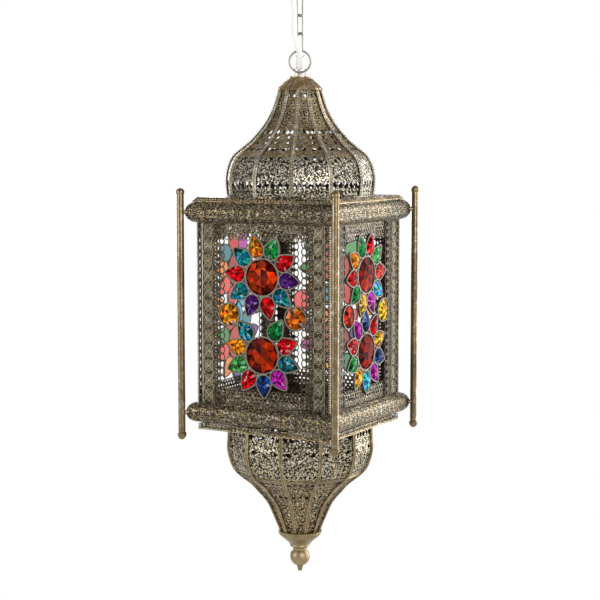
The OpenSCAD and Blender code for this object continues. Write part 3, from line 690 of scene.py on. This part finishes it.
def dome_holes(m):
    """Piercing of one upper gore: an arched field of scrolls, then bands of larger openings."""
    out = tumbling(m, 12.2, 5, 0.8, 8.4, 6.6)
    out += [ring(u, v, 1.5, 7) for u, v in row(m, 4.4, 7, 1.0)]
    out += medallion(0, m.arc(27), 9.2)
    for s in (-1, 1):
        out += rosette(s * 13.8, m.arc(22.4), 4.2, 6)
        out += rosette(s * 12.2, m.arc(32), 3.4, 5, s)
        out.append(drop(s * 4.9, m.arc(41.4), 5.2, 4.4, QUARTER - s * 0.5))
        out.append(drop(s * 10.6, m.arc(38.2), 4.6, 3.4, QUARTER + s * 0.7))
        out.append(leaf(s * 18.2, m.arc(30), 5.0, 1.8, QUARTER))
    out += rosette(0, m.arc(37.6), 2.6, 6)
    arch = within(m, 0.9, 6, 43)
    lace(out, lambda u, v, r: arch(u, v, r) and abs(u) < 17.5 - 0.9 * max(0, v - m.arc(31)),
         (-20, 0, 20, m.length), pitch=2.8, size=3.0, seed=3)

    v = m.arc(51.6)
    for s in (-1, 1):
        out.append(drop(s * 5.4, v, 6.2, 6.2, QUARTER + s * 0.6))
        out.append(drop(s * 12.0, v + 0.6, 5.2, 4.4, QUARTER + s * 0.2))
    out += [ring(u, v - 0.6, 0.85, 6) for u in (-1.5, 1.5)]
    v = m.arc(60.8)
    for s in (-1, 1):
        out.append(drop(s * 6.2, v + 4.6, 4.8, 4.4, s * 0.7 + QUARTER))
        out.append(drop(s * 6.6, v - 4.4, 4.8, 4.4, -s * 0.7 - QUARTER))
    out += wheel(leaf, around(8, 0.5), 0, v, (3.0, 2.4), 2.0, 0.75, 0)
    for u, v in row(m, 70.4, 4, 0.6):
        out.append(drop(u, v, 6.4, 4.9, QUARTER))
    out += [ring(u, v, 1.05, 6) for u, v in row(m, 78.6, 4, 1.4)]
    v = m.arc(88.6)
    out += wheel(leaf, around(6, 0.5), 0, v, (3.5, 4.1), 3.3, 2.1, QUARTER)
    out.append(leaf(0, v, 3.4, 1.9, QUARTER))
    for h, n, size in ((81.2, 2, 2.8), (97.4, 2, 3.4), (101.6, 1, 3.4), (104.8, 2, 2.4)):
        out += [leaf(u, v, size, size * 0.55, 0.5) for u, v in row(m, h, n, 1.5)]
    out += [ring(u, v, (1.6, 2.6), 9) for u, v in row(m, 110.6, 2, 0.7)]
    return lace(out, within(m, 1.0, 56, 107), (-16, m.arc(56), 16, m.arc(108)), pitch=3.7,
                size=2.2, seed=11)


def bowl_holes(m):
    """Piercing of one lower gore: open lace, an arched medallion, then rows that narrow."""
    out = tumbling(m, 5.2, 6, 0.6, 7.2, 5.8)
    for i, (u, v) in enumerate(row(m, 13.4, 5, 0.8)):
        out += rosette(u, v, 4.1, 5, QUARTER * (i % 2))
    out += medallion(0, m.arc(33), 9.4)
    for s in (-1, 1):
        out.append(drop(s * 13.8, m.arc(22.6), 5.8, 4.8, QUARTER + s * 0.6))
        out += rosette(s * 14.4, m.arc(31.5), 3.9, 6)
        out += rosette(s * 12.4, m.arc(41), 3.2, 5, s)
        out.append(leaf(s * 6.2, m.arc(21.0), 4.2, 2.1, s * 0.5))
    out += rosette(0, m.arc(21.0), 2.9, 6)
    out += tumbling(m, 48.6, 7, 1.4, 4.0, 2.9)
    lace(out, within(m, 0.9, 1, 53), (-21, 0, 21, m.arc(54)), pitch=2.8, size=3.0, seed=5)
    for h, n, size in ((60.4, 5, 5.6), (78.6, 3, 5.6)):
        out += [drop(u, v, size, size * 0.8, QUARTER + 0.5 * (i - (n - 1) / 2))
                for i, (u, v) in enumerate(row(m, h, n, 0.9))]
    narrow, box = within(m, 0.7, 57, 124), (-14, m.arc(57), 14, m.arc(124))
    lace(out, narrow, box, pitch=4.6, size=4.2, seed=21)
    return lace(out, narrow, box, pitch=2.6, size=1.9, seed=8)


def gores(name, m, holes, replaced, body, wear_and_sheen, field):
    """All the gores of a dome, cut as flat lace and bent to its meridian."""
    bm = pierced(both_sides([(m.half_width(v), v) for v in divided(m.length, 40)]), holes)
    slice_at(bm, divided(m.length, 34)[1:-1], 1)
    bend(bm, m.place)
    if m.up < 0:
        bmesh.ops.reverse_faces(bm, faces=bm.faces[:])
    turned(bm, m.turn + m.up * math.pi / GORES)
    copies(bm, GORES, GORE_TURN)
    finish = aged_brass(name, scaled(metal().brass, 1.25), wear_and_sheen, field=field)
    piece(name, bm, finish, body, replaced=[replaced], thick=piercing().sheet)


def rib_wires(bm, m, apart, lift, r):
    """Lays a wire along each side of a seam."""
    for s in (-1, 1):
        join(bm, wires([[m.seam(v, lift, s * apart) for v in divided(m.length, 36)]], r))


def edge_wire(out, z, r):
    """A straight wire along the front, at a distance from the axis and a height."""
    return wires([[point(s * HALF, -out, z) for s in (-1, 1)]], r)


def cornice_brass():
    """The finish of the cornices, which the lace edge of the base plate shares."""
    return bpy.data.materials.get("cornice_brass") or aged_brass(
        "cornice_brass", scaled(metal().brass, 1.12), metal().wear_and_sheen, 430.0)


# ---- operators
class LANTERN_OT_flex(bpy.types.Operator):
    """Makes the white flex beside the chain and its lower stretch into the dome"""

    bl_idname = "lantern.flex"
    bl_label = "Flex"

    def execute(self, context):
        white = white_plastic("flex_white", metal().flex)
        turn = Matrix.Rotation(FLEX_TURN, 3, "Z")
        fine = 3
        route = [turn @ p * MM + Vector((0, 0, RING_Z * MM))
                 for p in smooth_line([*FLEX_DOWN, (0, 0, 0), *FLEX_UP], fine)]
        middle = fine * len(FLEX_DOWN)
        for name, line, body, node in (
                ("flex_by_chain", route[middle:][::-1], "ceiling", "flex_upper"),
                ("flex_in_dome", route[:middle + 1][::-1], "lantern", "flex_lower")):
            data = tube(name, [line], FLEX_R, 4)
            data.materials.append(white)
            obj = linked(name, data)
            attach(obj, body)
            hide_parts(node)
            if body == "ceiling":
                length = sum((b - a).length for a, b in zip(line, line[1:]))
                tuple(line[0])
        dress(white, "flex_sleeve", "cord_grip", "lampholder")
        return {"FINISHED"}


class LANTERN_OT_domes(bpy.types.Operator):
    """Cuts and bends the pierced gores of both domes"""

    bl_idname = "lantern.domes"
    bl_label = "Domes"

    def execute(self, context):
        lip = TOP + BOWL_TOP
        # Fields: heights of the painted sheen band, and how strong tooling and painted marks are
        # elsewhere
        gores("upper_gores", UPPER, dome_holes(UPPER), "dome_panels", "lantern", metal().wear_and_sheen,
              (TOP - 6, TOP + 44, 0.55))
        gores("lower_gores", LOWER, bowl_holes(LOWER), "lower_dome_panels", "hatch",
              (0.66, 0.58, 0.42), (lip - 52, lip + 6, 0.85))
        return {"FINISHED"}


class LANTERN_OT_ribs(bpy.types.Operator):
    """Lays the beaded ribs over the upper seams and the wired ribs over the lower ones"""

    bl_idname = "lantern.ribs"
    bl_label = "Ribs"

    def execute(self, context):
        bm = bmesh.new()
        r = piercing().bead
        for v in middles(0, UPPER.length, int(UPPER.length / (2.5 * r))):
            bead(bm, UPPER.seam(v, 1.3), r)
        rib_wires(bm, UPPER, 1.75, 0.9, 0.5)
        turned(bm, UPPER.turn)
        copies(bm, GORES, GORE_TURN)
        silver = aged_brass("worn_rib", scaled(metal().wear_and_sheen, 0.6), scaled(metal().wear_and_sheen, 1.3),
                            rough=0.3)
        piece("upper_rib_beads", bm, silver, smooth=50)

        bm = bmesh.new()
        rib_wires(bm, LOWER, 1.2, 1.3, 0.75)
        turned(bm, LOWER.turn)
        copies(bm, GORES, GORE_TURN)
        for h, r in ((54.6, 0.85), (56.6, 0.55)):
            v = LOWER.arc(h)
            for k in range(GORES):
                band = wires([[LOWER.place(LOWER.half_width(v) * t / 4, v, 0.5)
                               for t in range(-4, 5)]], r)
                turned(band, GORE_TURN * k)
                join(bm, band)
        gold = aged_brass("rib_gold", (0.29, 0.225, 0.125), (0.6, 0.52, 0.37), rough=0.33)
        piece("lower_rib_wires", bm, gold, "hatch", smooth=50)
        dull = aged_brass("rib_brass", metal().brass, metal().wear_and_sheen)
        dress(dull, "dome_ribs", "lower_dome_ribs")
        return {"FINISHED"}


class LANTERN_OT_cornices(bpy.types.Operator):
    """Bends pierced and stamped sheet into the half-round cornices"""

    bl_idname = "lantern.cornices"
    bl_label = "Cornices"

    def execute(self, context):
        half = CORNICE_H / 2
        arc = Profile(smooth_line(bow(0, 0, (CORNICE_OUT, half), -QUARTER, QUARTER, 12), 3))
        length = arc.length
        repeats = round(2 * HALF / piercing().cornice_pitch)
        holes = []
        for i, u in enumerate(middles(-HALF, HALF, repeats)):
            holes += rosette(u, length / 2, 4.6, 7, 0.3 * (i % 2))
            for s in (-1, 1):
                holes += rosette(u, length / 2 + s * 9.4, 3.8, 5, s * QUARTER)

        def mitre(v):
            """Half the width of the sheet at v, where it meets the next cornice."""
            return HALF + arc.line[min(int(v / length * len(arc.line)), len(arc.line) - 1)].x

        def on_sheet(u, v, r):
            return 0.8 + r < v < length - 0.8 - r and abs(u) < mitre(v) - 1.4 - r

        lace(holes, on_sheet, (-HALF - 10, 0, HALF + 10, length), pitch=2.6, size=2.3, seed=7)
        edge = [(HALF + p.x - 0.05, v) for p, v in zip(arc.line, arc.run)]
        brass = cornice_brass()
        for level, head in (("top", -STEP_H), ("bottom", PANEL_FOOT)):
            def bent(u, v, middle=TOP + head - half):
                p = arc.at(v)
                return point(u, -HALF - p.x, middle + p.y)

            for k, side in enumerate(SIDES):
                bm = pierced(both_sides(edge), holes)
                slice_at(bm, divided(length, 16)[1:-1], 1)
                bend(bm, bent)
                turned(bm, k * QUARTER)
                piece(f"{level}_cornice_lace_{side}", bm, brass,
                      replaced=[f"{level}_cornice_{side}"], thick=piercing().sheet)
        return {"FINISHED"}


class LANTERN_OT_edges(bpy.types.Operator):
    """Trims the edges of the step and of the base plate with beads, wires and lace"""

    bl_idname = "lantern.edges"
    bl_label = "Edges"

    def execute(self, context):
        brightened = aged_brass("edge_brass", scaled(metal().brass, 1.5), scaled(metal().wear_and_sheen, 1.2))
        bm = bmesh.new()
        for u in middles(-HALF, HALF, 42):
            bead(bm, point(u, -HALF - STEP_OUT / 2 - 0.2, TOP - STEP_H / 2), 1.15)
        join(bm, edge_wire(HALF + STEP_OUT - 0.7, TOP - STEP_H + 0.7, 0.65))
        copies(bm, 4, QUARTER)
        piece("edge_beads", bm, brightened, smooth=50)

        lip = TOP + BOWL_TOP
        bm = edge_wire(HALF, lip - 0.9, 0.6)
        copies(bm, 4, QUARTER)
        piece("base_edge_wire", bm, brightened, "hatch", smooth=50)

        slots = [ring(u, 2.7, (1.65, 1.5)) for u in middles(-HALF, HALF, 40)]
        bm = pierced(both_sides([(HALF, 0), (HALF, 5.2)]), slots)
        bend(bm, lambda u, v: point(u, -HALF, lip + v))
        copies(bm, 4, QUARTER)
        piece("base_edge_lace", bm, cornice_brass(), "hatch", thick=0.7)
        return {"FINISHED"}


class LANTERN_OT_columns(bpy.types.Operator):
    """Pierces the edges of the corner angles and lays the raised knotwork and beads on them"""

    bl_idname = "lantern.columns"
    bl_label = "Corner angles"

    def execute(self, context):
        wide, bulge, rise = 35.4, 3.0, 3.9
        pitch = piercing().column_pitch
        rows = middles(PANEL_FOOT, PANEL_TOP, int((PANEL_TOP - PANEL_FOOT) / pitch))
        holes = []
        for y in rows:
            for s in (-1, 1):
                holes.append(ring(s * 31.9, y, (2.6, 3.3), 12))
                holes.append(leaf(s * 27.2, y, 5.0, 2.2, QUARTER))
                holes.append(ring(s * 4.0, y, (2.0, 3.1), 10))
                for dy in (-pitch / 4, pitch / 4):
                    holes.append(leaf(s * 23.4, y + dy, 2.8, 1.3, QUARTER + s * 0.6, 3))
        edge = [(wide, BODY_FOOT + SHEET), (wide, PANEL_FOOT)]
        for y in rows:
            edge += bow(wide - bulge, y, (bulge, rise), -1.0, 1.0, 4)
        edge += [(wide, PANEL_TOP), (wide, -STEP_H)]

        def folded(u, y):
            x = abs(u) - HALF
            return point(x, -HALF, TOP + y) if u >= 0 else point(-HALF, x, TOP + y)

        eyes, fine, middle, strand, rail = 12, 10, 14.2, 6.0, 7.6
        climb = divided(PANEL_TOP - PANEL_FOOT, fine * eyes)
        knot = [[(middle + s * strand * math.cos(math.pi * k / fine), PANEL_FOOT + y)
                 for k, y in enumerate(climb)] for s in (-1, 1)]
        knot.append([(middle - rail, PANEL_FOOT), (middle - rail, PANEL_TOP)])
        for y in middles(PANEL_FOOT, PANEL_TOP, eyes):
            for r in ((4.9, 6.3), (2.9, 4.0), (0.9, 1.5)):
                knot.append(bow(middle, y, r, 0, 2 * math.pi, 14))
        out = -HALF - 0.15
        relief = [[point(u - HALF, out, TOP + y) for u, y in line] for line in knot]
        relief += [[point(out, u - HALF, TOP + y) for u, y in line] for line in knot]

        brass = aged_brass("column_brass", scaled(metal().brass, 0.44),
                           scaled(metal().wear_and_sheen, 0.33), 560.0)
        proud = aged_brass("column_relief", (0.42, 0.37, 0.26), (0.78, 0.72, 0.58), rough=0.28)
        for k, corner in enumerate(CORNERS):
            bm = pierced(both_sides(edge), holes)
            slice_at(bm, [0.0], 0)
            bend(bm, folded)
            turned(bm, k * QUARTER)
            piece(f"column_lace_{corner}", bm, brass, replaced=[f"column_{corner}"], thick=1.0)
            bm = wires(relief, 0.48)
            for y in middles(PANEL_FOOT, PANEL_TOP, 3 * len(rows)):
                bead(bm, point(-HALF + 0.2, -HALF + 0.2, TOP + y), 1.4)
            turned(bm, k * QUARTER)
            piece(f"column_relief_{corner}", bm, proud, smooth=50)
        return {"FINISHED"}


class LANTERN_OT_valances(bpy.types.Operator):
    """Cuts the scalloped lace valances at the head and foot of the openings"""

    bl_idname = "lantern.valances"
    bl_label = "Valances"

    def execute(self, context):
        finish = aged_brass("valance_brass", scaled(metal().brass, 0.75), metal().wear_and_sheen, 520.0)
        depth, scallops, solid_edge = 19.0, 30, INNER - SHEET
        p = 2 * solid_edge / scallops
        sweep = math.radians(-25), math.radians(205), 5
        for level, head, flip, panel in (("top", -SHEET, -1, PANEL_TOP),
                                         ("bottom", BODY_FOOT + SHEET, 1, PANEL_FOOT)):
            base = abs(panel - head) + depth - p / 2
            bm = bmesh.new()
            for k in range(4):
                half = INNER - (k % 2) * SHEET
                outline = [(-half, 0), (half, 0), (half, base - p * 0.4)]
                holes = []
                for i in range(scallops):
                    u = -solid_edge + p * (i + 0.5)
                    holes.append(ring(u, base + 0.1, p * 0.3))
                    holes.append(ring(u, base - p * 1.55, p * 0.3))
                    holes.append(drop(u, base - p * 2.9, 2.4, 1.7, QUARTER * (-1) ** i, 4))
                    if i:
                        holes.append(ring(u - p / 2, base - p * 0.74, (p * 0.3, p * 0.34)))
                        holes.append(leaf(u - p / 2, base - p * 2.3, 3.4, 1.9,
                                          QUARTER + 0.6 * (-1) ** i, 3))
                    u = solid_edge - p * (i + 0.5)
                    outline += bow(u, base, (p * 0.47, p * 0.47), *sweep)
                outline.append((-half, base - p * 0.4))
                part = pierced(outline, holes)
                slice_at(part, [-half / 2, 0, half / 2], 0)
                bend(part, lambda u, v: point(u, -INNER, TOP + head + flip * v))
                if flip < 0:
                    bmesh.ops.reverse_faces(part, faces=part.faces[:])
                turned(part, k * QUARTER)
                join(bm, part)
            piece(f"{level}_valance_lace", bm, finish, replaced=[f"{level}_valances"],
                  thick=0.9)
        return {"FINISHED"}


def facet_colours(rng, face, base):
    """A facet's colour and glow: random painted brightness, painted shade on rims, a pale painted
    glow on the back, a few glints.
    """
    # Painted sparkle: a random brightness for each facet, a random hue shift, and a painted glow
    # of a third of it
    k = rng.choice((0.06, 0.14, 0.28, 0.45, 0.7, 1.0))
    c = Vector((base.x * k, base.y * k * rng.uniform(0.5, 1.7),
                base.z * k * rng.uniform(0.6, 1.6)))
    glow = c * 0.3
    deep = base.x < 0.5 and base.y < 0.03 and base.z < 0.01
    # The back gets a pale painted glow of light through the glass
    if face.normal.z < -0.9:
        c = base.lerp(Vector((1, 1, 1)), 0.16)
        glow = c * 0.8
    # The girdle and the outer crown facets get painted shade
    elif face.normal.z < 0.6:
        c = base * 0.08
        glow = c * 0.2
    elif face.calc_center_median().z < 2.5:
        c *= 0.08 if deep else 0.4
        glow = c * 0.2
    # Deep reds get some painted bright facets, the others a few painted glints
    elif deep:
        c *= 0.55 + 1.0 * (rng.random() < 0.3)
    elif rng.random() < 0.08:
        c = c.lerp(Vector((1, 1, 1)), 0.2)
    return [(*(min(1.0, x) for x in v), 1.0) for v in (c, glow)]


def gem(bm, rng, outline, crown, hue, where):
    """One cut glass: a girdle, a crown of facets and a table cut in a star, closed and convex."""
    part = bmesh.new()
    # Rings of corners: share of the outline, height, first corner and step
    for share, rise, start, every in ((1.0, 0.0, 0, 1), (1.0, 1.7, 0, 1), (0.84, 2.7, 1, 2),
                                      (0.5, 2.4 + crown, 0, 2)):
        for p in outline(share)[start::every]:
            part.verts.new((*p, rise))
    bmesh.ops.convex_hull(part, input=part.verts[:])
    bmesh.ops.dissolve_limit(part, angle_limit=math.radians(2), verts=part.verts[:],
                             edges=part.edges[:])
    bmesh.ops.recalc_face_normals(part, faces=part.faces[:])
    table = [f for f in part.faces if f.normal.z > 0.97]
    bmesh.ops.poke(part, faces=table, offset=0.35, center_mode="MEAN")
    # Each facet's colour and glow, with their painted light and shade
    facet_shading = [facet_colours(rng, f, Vector(hue)) for f in part.faces]
    for v in part.verts:
        v.co = where(v.co)
    first = len(bm.faces)
    join(bm, part)
    bm.faces.ensure_lookup_table()
    layers = [bm.loops.layers.float_color[key] for key in ("tint_and_shading", "glow")]
    for face, colours in zip(bm.faces[first:], facet_shading):
        for loop in face.loops:
            for layer, colour in zip(layers, colours):
                loop[layer] = colour


class LANTERN_OT_jewels(bpy.types.Operator):
    """Cuts the coloured glass and dresses its bezels"""

    bl_idname = "lantern.jewels"
    bl_label = "Jewels"

    def execute(self, context):
        glass = context.scene.lantern_glass
        centre_r, side_r, side_out = 19.9, 12.4, 42.2
        pear_r, pear_len, pear_shift, flank_r = 8.9, 15.9, 3.2, 40.0
        flank_from, flank_to = math.radians(68.5), math.radians(47.4)
        petal_out, flower_up = 31.0, 43.0
        mid = (PANEL_TOP + PANEL_FOOT) / 2

        def round_cut(r):
            return lambda share: bow(0, 0, (r * share, r * share), 0, 2 * math.pi,
                                     glass.facets)[:-1]

        def pear_cut(share):
            x, y = ((pear_r - flank_r) * f(flank_from) for f in (math.cos, math.sin))
            flank = bow(x, y, (flank_r, flank_r), flank_from, flank_to, 4)[1:]
            back = bow(0, 0, (pear_r, pear_r), flank_from, 2 * math.pi - flank_from, 12)
            pts = back + [(x, -y) for x, y in flank] + [(pear_len, 0)] + flank[::-1]
            return [((x - pear_shift) * share + pear_shift, y * share) for x, y in pts]

        pots = {}
        for k, (upper, lower, sides) in enumerate(FACES):
            spin = Matrix.Rotation(k * QUARTER, 3, "Z")
            places = []
            for (start, heart, petals), z in ((upper, mid + flower_up), (lower, mid - flower_up)):
                places.append((heart, round_cut(centre_r), 0, z, 0, 0))
                places += [(hue, pear_cut, 0, z, petal_out, math.radians(start + 36 * i))
                           for i, hue in enumerate(petals) if hue != "-"]
            places += [(hue, round_cut(side_r), s * side_out, mid, 0, 0)
                       for s, hue in zip((-1, 1), sides)]
            for hue, cut, x, z, out, a in places:
                if hue not in pots:
                    pots[hue] = bmesh.new()
                    for key in ("tint_and_shading", "glow"):
                        pots[hue].loops.layers.float_color.new(key)
                seed = len(pots[hue].faces) + ord(hue) * 7 + k

                def where(p, x=x, z=z, out=out, a=a):
                    u, v = placed([(p.x + out, p.y)], x, z, a)[0]
                    return spin @ point(u, -INNER - 0.1 - p.z, TOP + v)
                gem(pots[hue], random.Random(seed), cut, glass.rise, GLASS[hue][2], where)
        finish = cut_glass("cut_glass")
        for hue, bm in pots.items():
            name, group = GLASS[hue][:2]
            slot = f"glass_{group}"
            piece(f"{name}_glass", bm, finish,
                  replaced=[slot] if hue in LEADING else ())
        tin = plain_metal("bezel_tin", metal().tin, 0.42)
        dress(tin, *(f"jewel_frame_{side}" for side in SIDES))
        return {"FINISHED"}


class LANTERN_OT_fittings(bpy.types.Operator):
    """Gives the plain fittings, posts, plates and chain their finishes"""

    bl_idname = "lantern.fittings"
    bl_label = "Fittings"

    def execute(self, context):
        m = metal()
        sheet = aged_brass("plate_brass", m.brass, m.wear_and_sheen, 300.0)
        dress(sheet, "top_plate", "base_plate", "dome_base_ring", "base_frame", "lamp_bridge")
        post = aged_brass("post_brass", scaled(m.brass, 0.75), scaled(m.wear_and_sheen, 0.65), rough=0.22)
        dress(post, *(f"post_{corner}" for corner in CORNERS), "post_studs")
        warm = aged_brass("cap_brass", (0.36, 0.26, 0.14), (0.66, 0.56, 0.4))
        dress(warm, "dome_cap", "ring_bracket", "canopy_nut", "ceiling_canopy")
        satin = aged_brass("satin_brass", (0.25, 0.19, 0.1), (0.36, 0.29, 0.18), rough=0.42)
        dress(satin, "lower_cup", "finial")
        steel = plain_metal("chain_steel", m.steel, 0.35)
        dress(steel, "chain_link_1", "chain_link_2", "chain_link_3", "hanging_ring",
              "ceiling_hook", "ceiling_plate", "base_hinge", "hatch_leaf", "base_catch")
        return {"FINISHED"}


class LANTERN_OT_stage(bpy.types.Operator):
    """Sets the pale floor, the lights and the camera"""

    bl_idname = "lantern.stage"
    bl_label = "Stage"

    def execute(self, context):
        scene = context.scene
        scene.view_settings.view_transform = "Standard"
        centre = point(0, 0, TOP - 118.5)

        def watch(name, data, way, far=1.0):
            """Sets a lamp or camera out along a way from the middle, and turns it to look back."""
            obj = linked(name, data)
            obj.location = centre + way * far
            obj.rotation_euler = (-way).to_track_quat("-Z", "Y").to_euler()
            return obj

        turn, tilt, far = math.radians(29.4), math.radians(6.0), 1.805
        way = Vector((math.sin(turn) * math.cos(tilt), -math.cos(turn) * math.cos(tilt),
                      math.sin(tilt)))
        view = bpy.data.cameras.new("camera")
        view.lens = 95
        scene.camera = watch("camera", view, way, far)

        floor = bmesh.new()
        bmesh.ops.create_grid(floor, x_segments=8, y_segments=8, size=9)
        bmesh.ops.translate(floor, verts=floor.verts[:], vec=(0, 0, -1.6))
        mesh = to_mesh("floor", floor)
        pale = Finish("pale_floor")
        pale.set(Base_Color=(0.8, 0.8, 0.8, 1), Roughness=0.9)
        camera_ray, glossy, through = (
            pale.add("ShaderNodeLightPath", {}, {}, ray)
            for ray in ("Is Camera Ray", "Is Glossy Ray", "Is Transmission Ray"))
        glow = pale.add("ShaderNodeEmission", {}, {0: (1, 1, 1, 1)})
        mix = pale.node("ShaderNodeMixShader", {}, {
            0: camera_ray + glossy + through, 1: Level(pale, pale.shader.outputs[0]), 2: glow})
        pale.tree.links.new(mix.outputs[0], pale.out.inputs[0])
        mesh.materials.append(pale.material)
        obj = linked("floor", mesh)

        world = bpy.data.worlds.new("studio")
        scene.world = world
        world.use_nodes = True
        sky = Nodes(world.node_tree)
        camera_ray, through = (sky.add("ShaderNodeLightPath", {}, {}, ray)
                               for ray in ("Is Camera Ray", "Is Transmission Ray"))
        either = sky.add("ShaderNodeMath", {"operation": "MAXIMUM"}, {0: camera_ray, 1: through})
        soft = sky.add("ShaderNodeBackground", {}, {0: (0.98, 0.98, 1.0, 1), 1: 0.5})
        white = sky.add("ShaderNodeBackground", {}, {0: (1, 1, 1, 1)})
        mix = sky.add("ShaderNodeMixShader", {}, {0: either, 1: soft, 2: white})
        sky.node("ShaderNodeOutputWorld", {}, {0: mix})

        # Each lamp's way from the middle and its size in metres, and its power in watts
        for name, way, size, power in (("key", (1.3, 1.9, 0.3), 2.8, 74),
                                       ("side", (1.9, -1.25, 0.5), 1.4, 30),
                                       ("fill", (-1.5, -2.0, 0.3), 1.6, 25),
                                       ("rim", (-1.6, 1.6, 0.5), 1.4, 30)):
            lamp = bpy.data.lights.new(name, "AREA")
            lamp.shape, lamp.size, lamp.energy = "DISK", size, power
            watch(name, lamp, Vector(way))
        return {"FINISHED"}


STEPS = (LANTERN_OT_stage, LANTERN_OT_flex, LANTERN_OT_domes, LANTERN_OT_ribs,
         LANTERN_OT_cornices, LANTERN_OT_edges, LANTERN_OT_columns, LANTERN_OT_valances,
         LANTERN_OT_jewels, LANTERN_OT_fittings)


class LANTERN_PT_panel(bpy.types.Panel):
    """Lists the lantern's settings and pieces"""

    bl_label = "Lantern"
    bl_idname = "LANTERN_PT_panel"
    bl_space_type = "VIEW_3D"
    bl_region_type = "UI"
    bl_category = "Lantern"

    def draw(self, context):
        for group in ("lantern_metal", "lantern_piercing", "lantern_glass"):
            settings = getattr(context.scene, group)
            for key in settings.bl_rna.properties.keys():
                if key not in ("rna_type", "name"):
                    self.layout.prop(settings, key)
        for step in STEPS:
            self.layout.operator(step.bl_idname)


CLASSES = (LanternMetal, LanternPiercing, LanternGlass, *STEPS, LANTERN_PT_panel)


def register():
    for cls in CLASSES:
        bpy.utils.register_class(cls)
    bpy.types.Scene.lantern_metal = PointerProperty(type=LanternMetal)
    bpy.types.Scene.lantern_piercing = PointerProperty(type=LanternPiercing)
    bpy.types.Scene.lantern_glass = PointerProperty(type=LanternGlass)


def unregister():
    del bpy.types.Scene.lantern_glass
    del bpy.types.Scene.lantern_piercing
    del bpy.types.Scene.lantern_metal
    for cls in reversed(CLASSES):
        bpy.utils.unregister_class(cls)


def main():
    register()
    for step in STEPS:
        group, name = step.bl_idname.split(".")
        getattr(getattr(bpy.ops, group), name)()


if __name__ == "__main__":
    main()
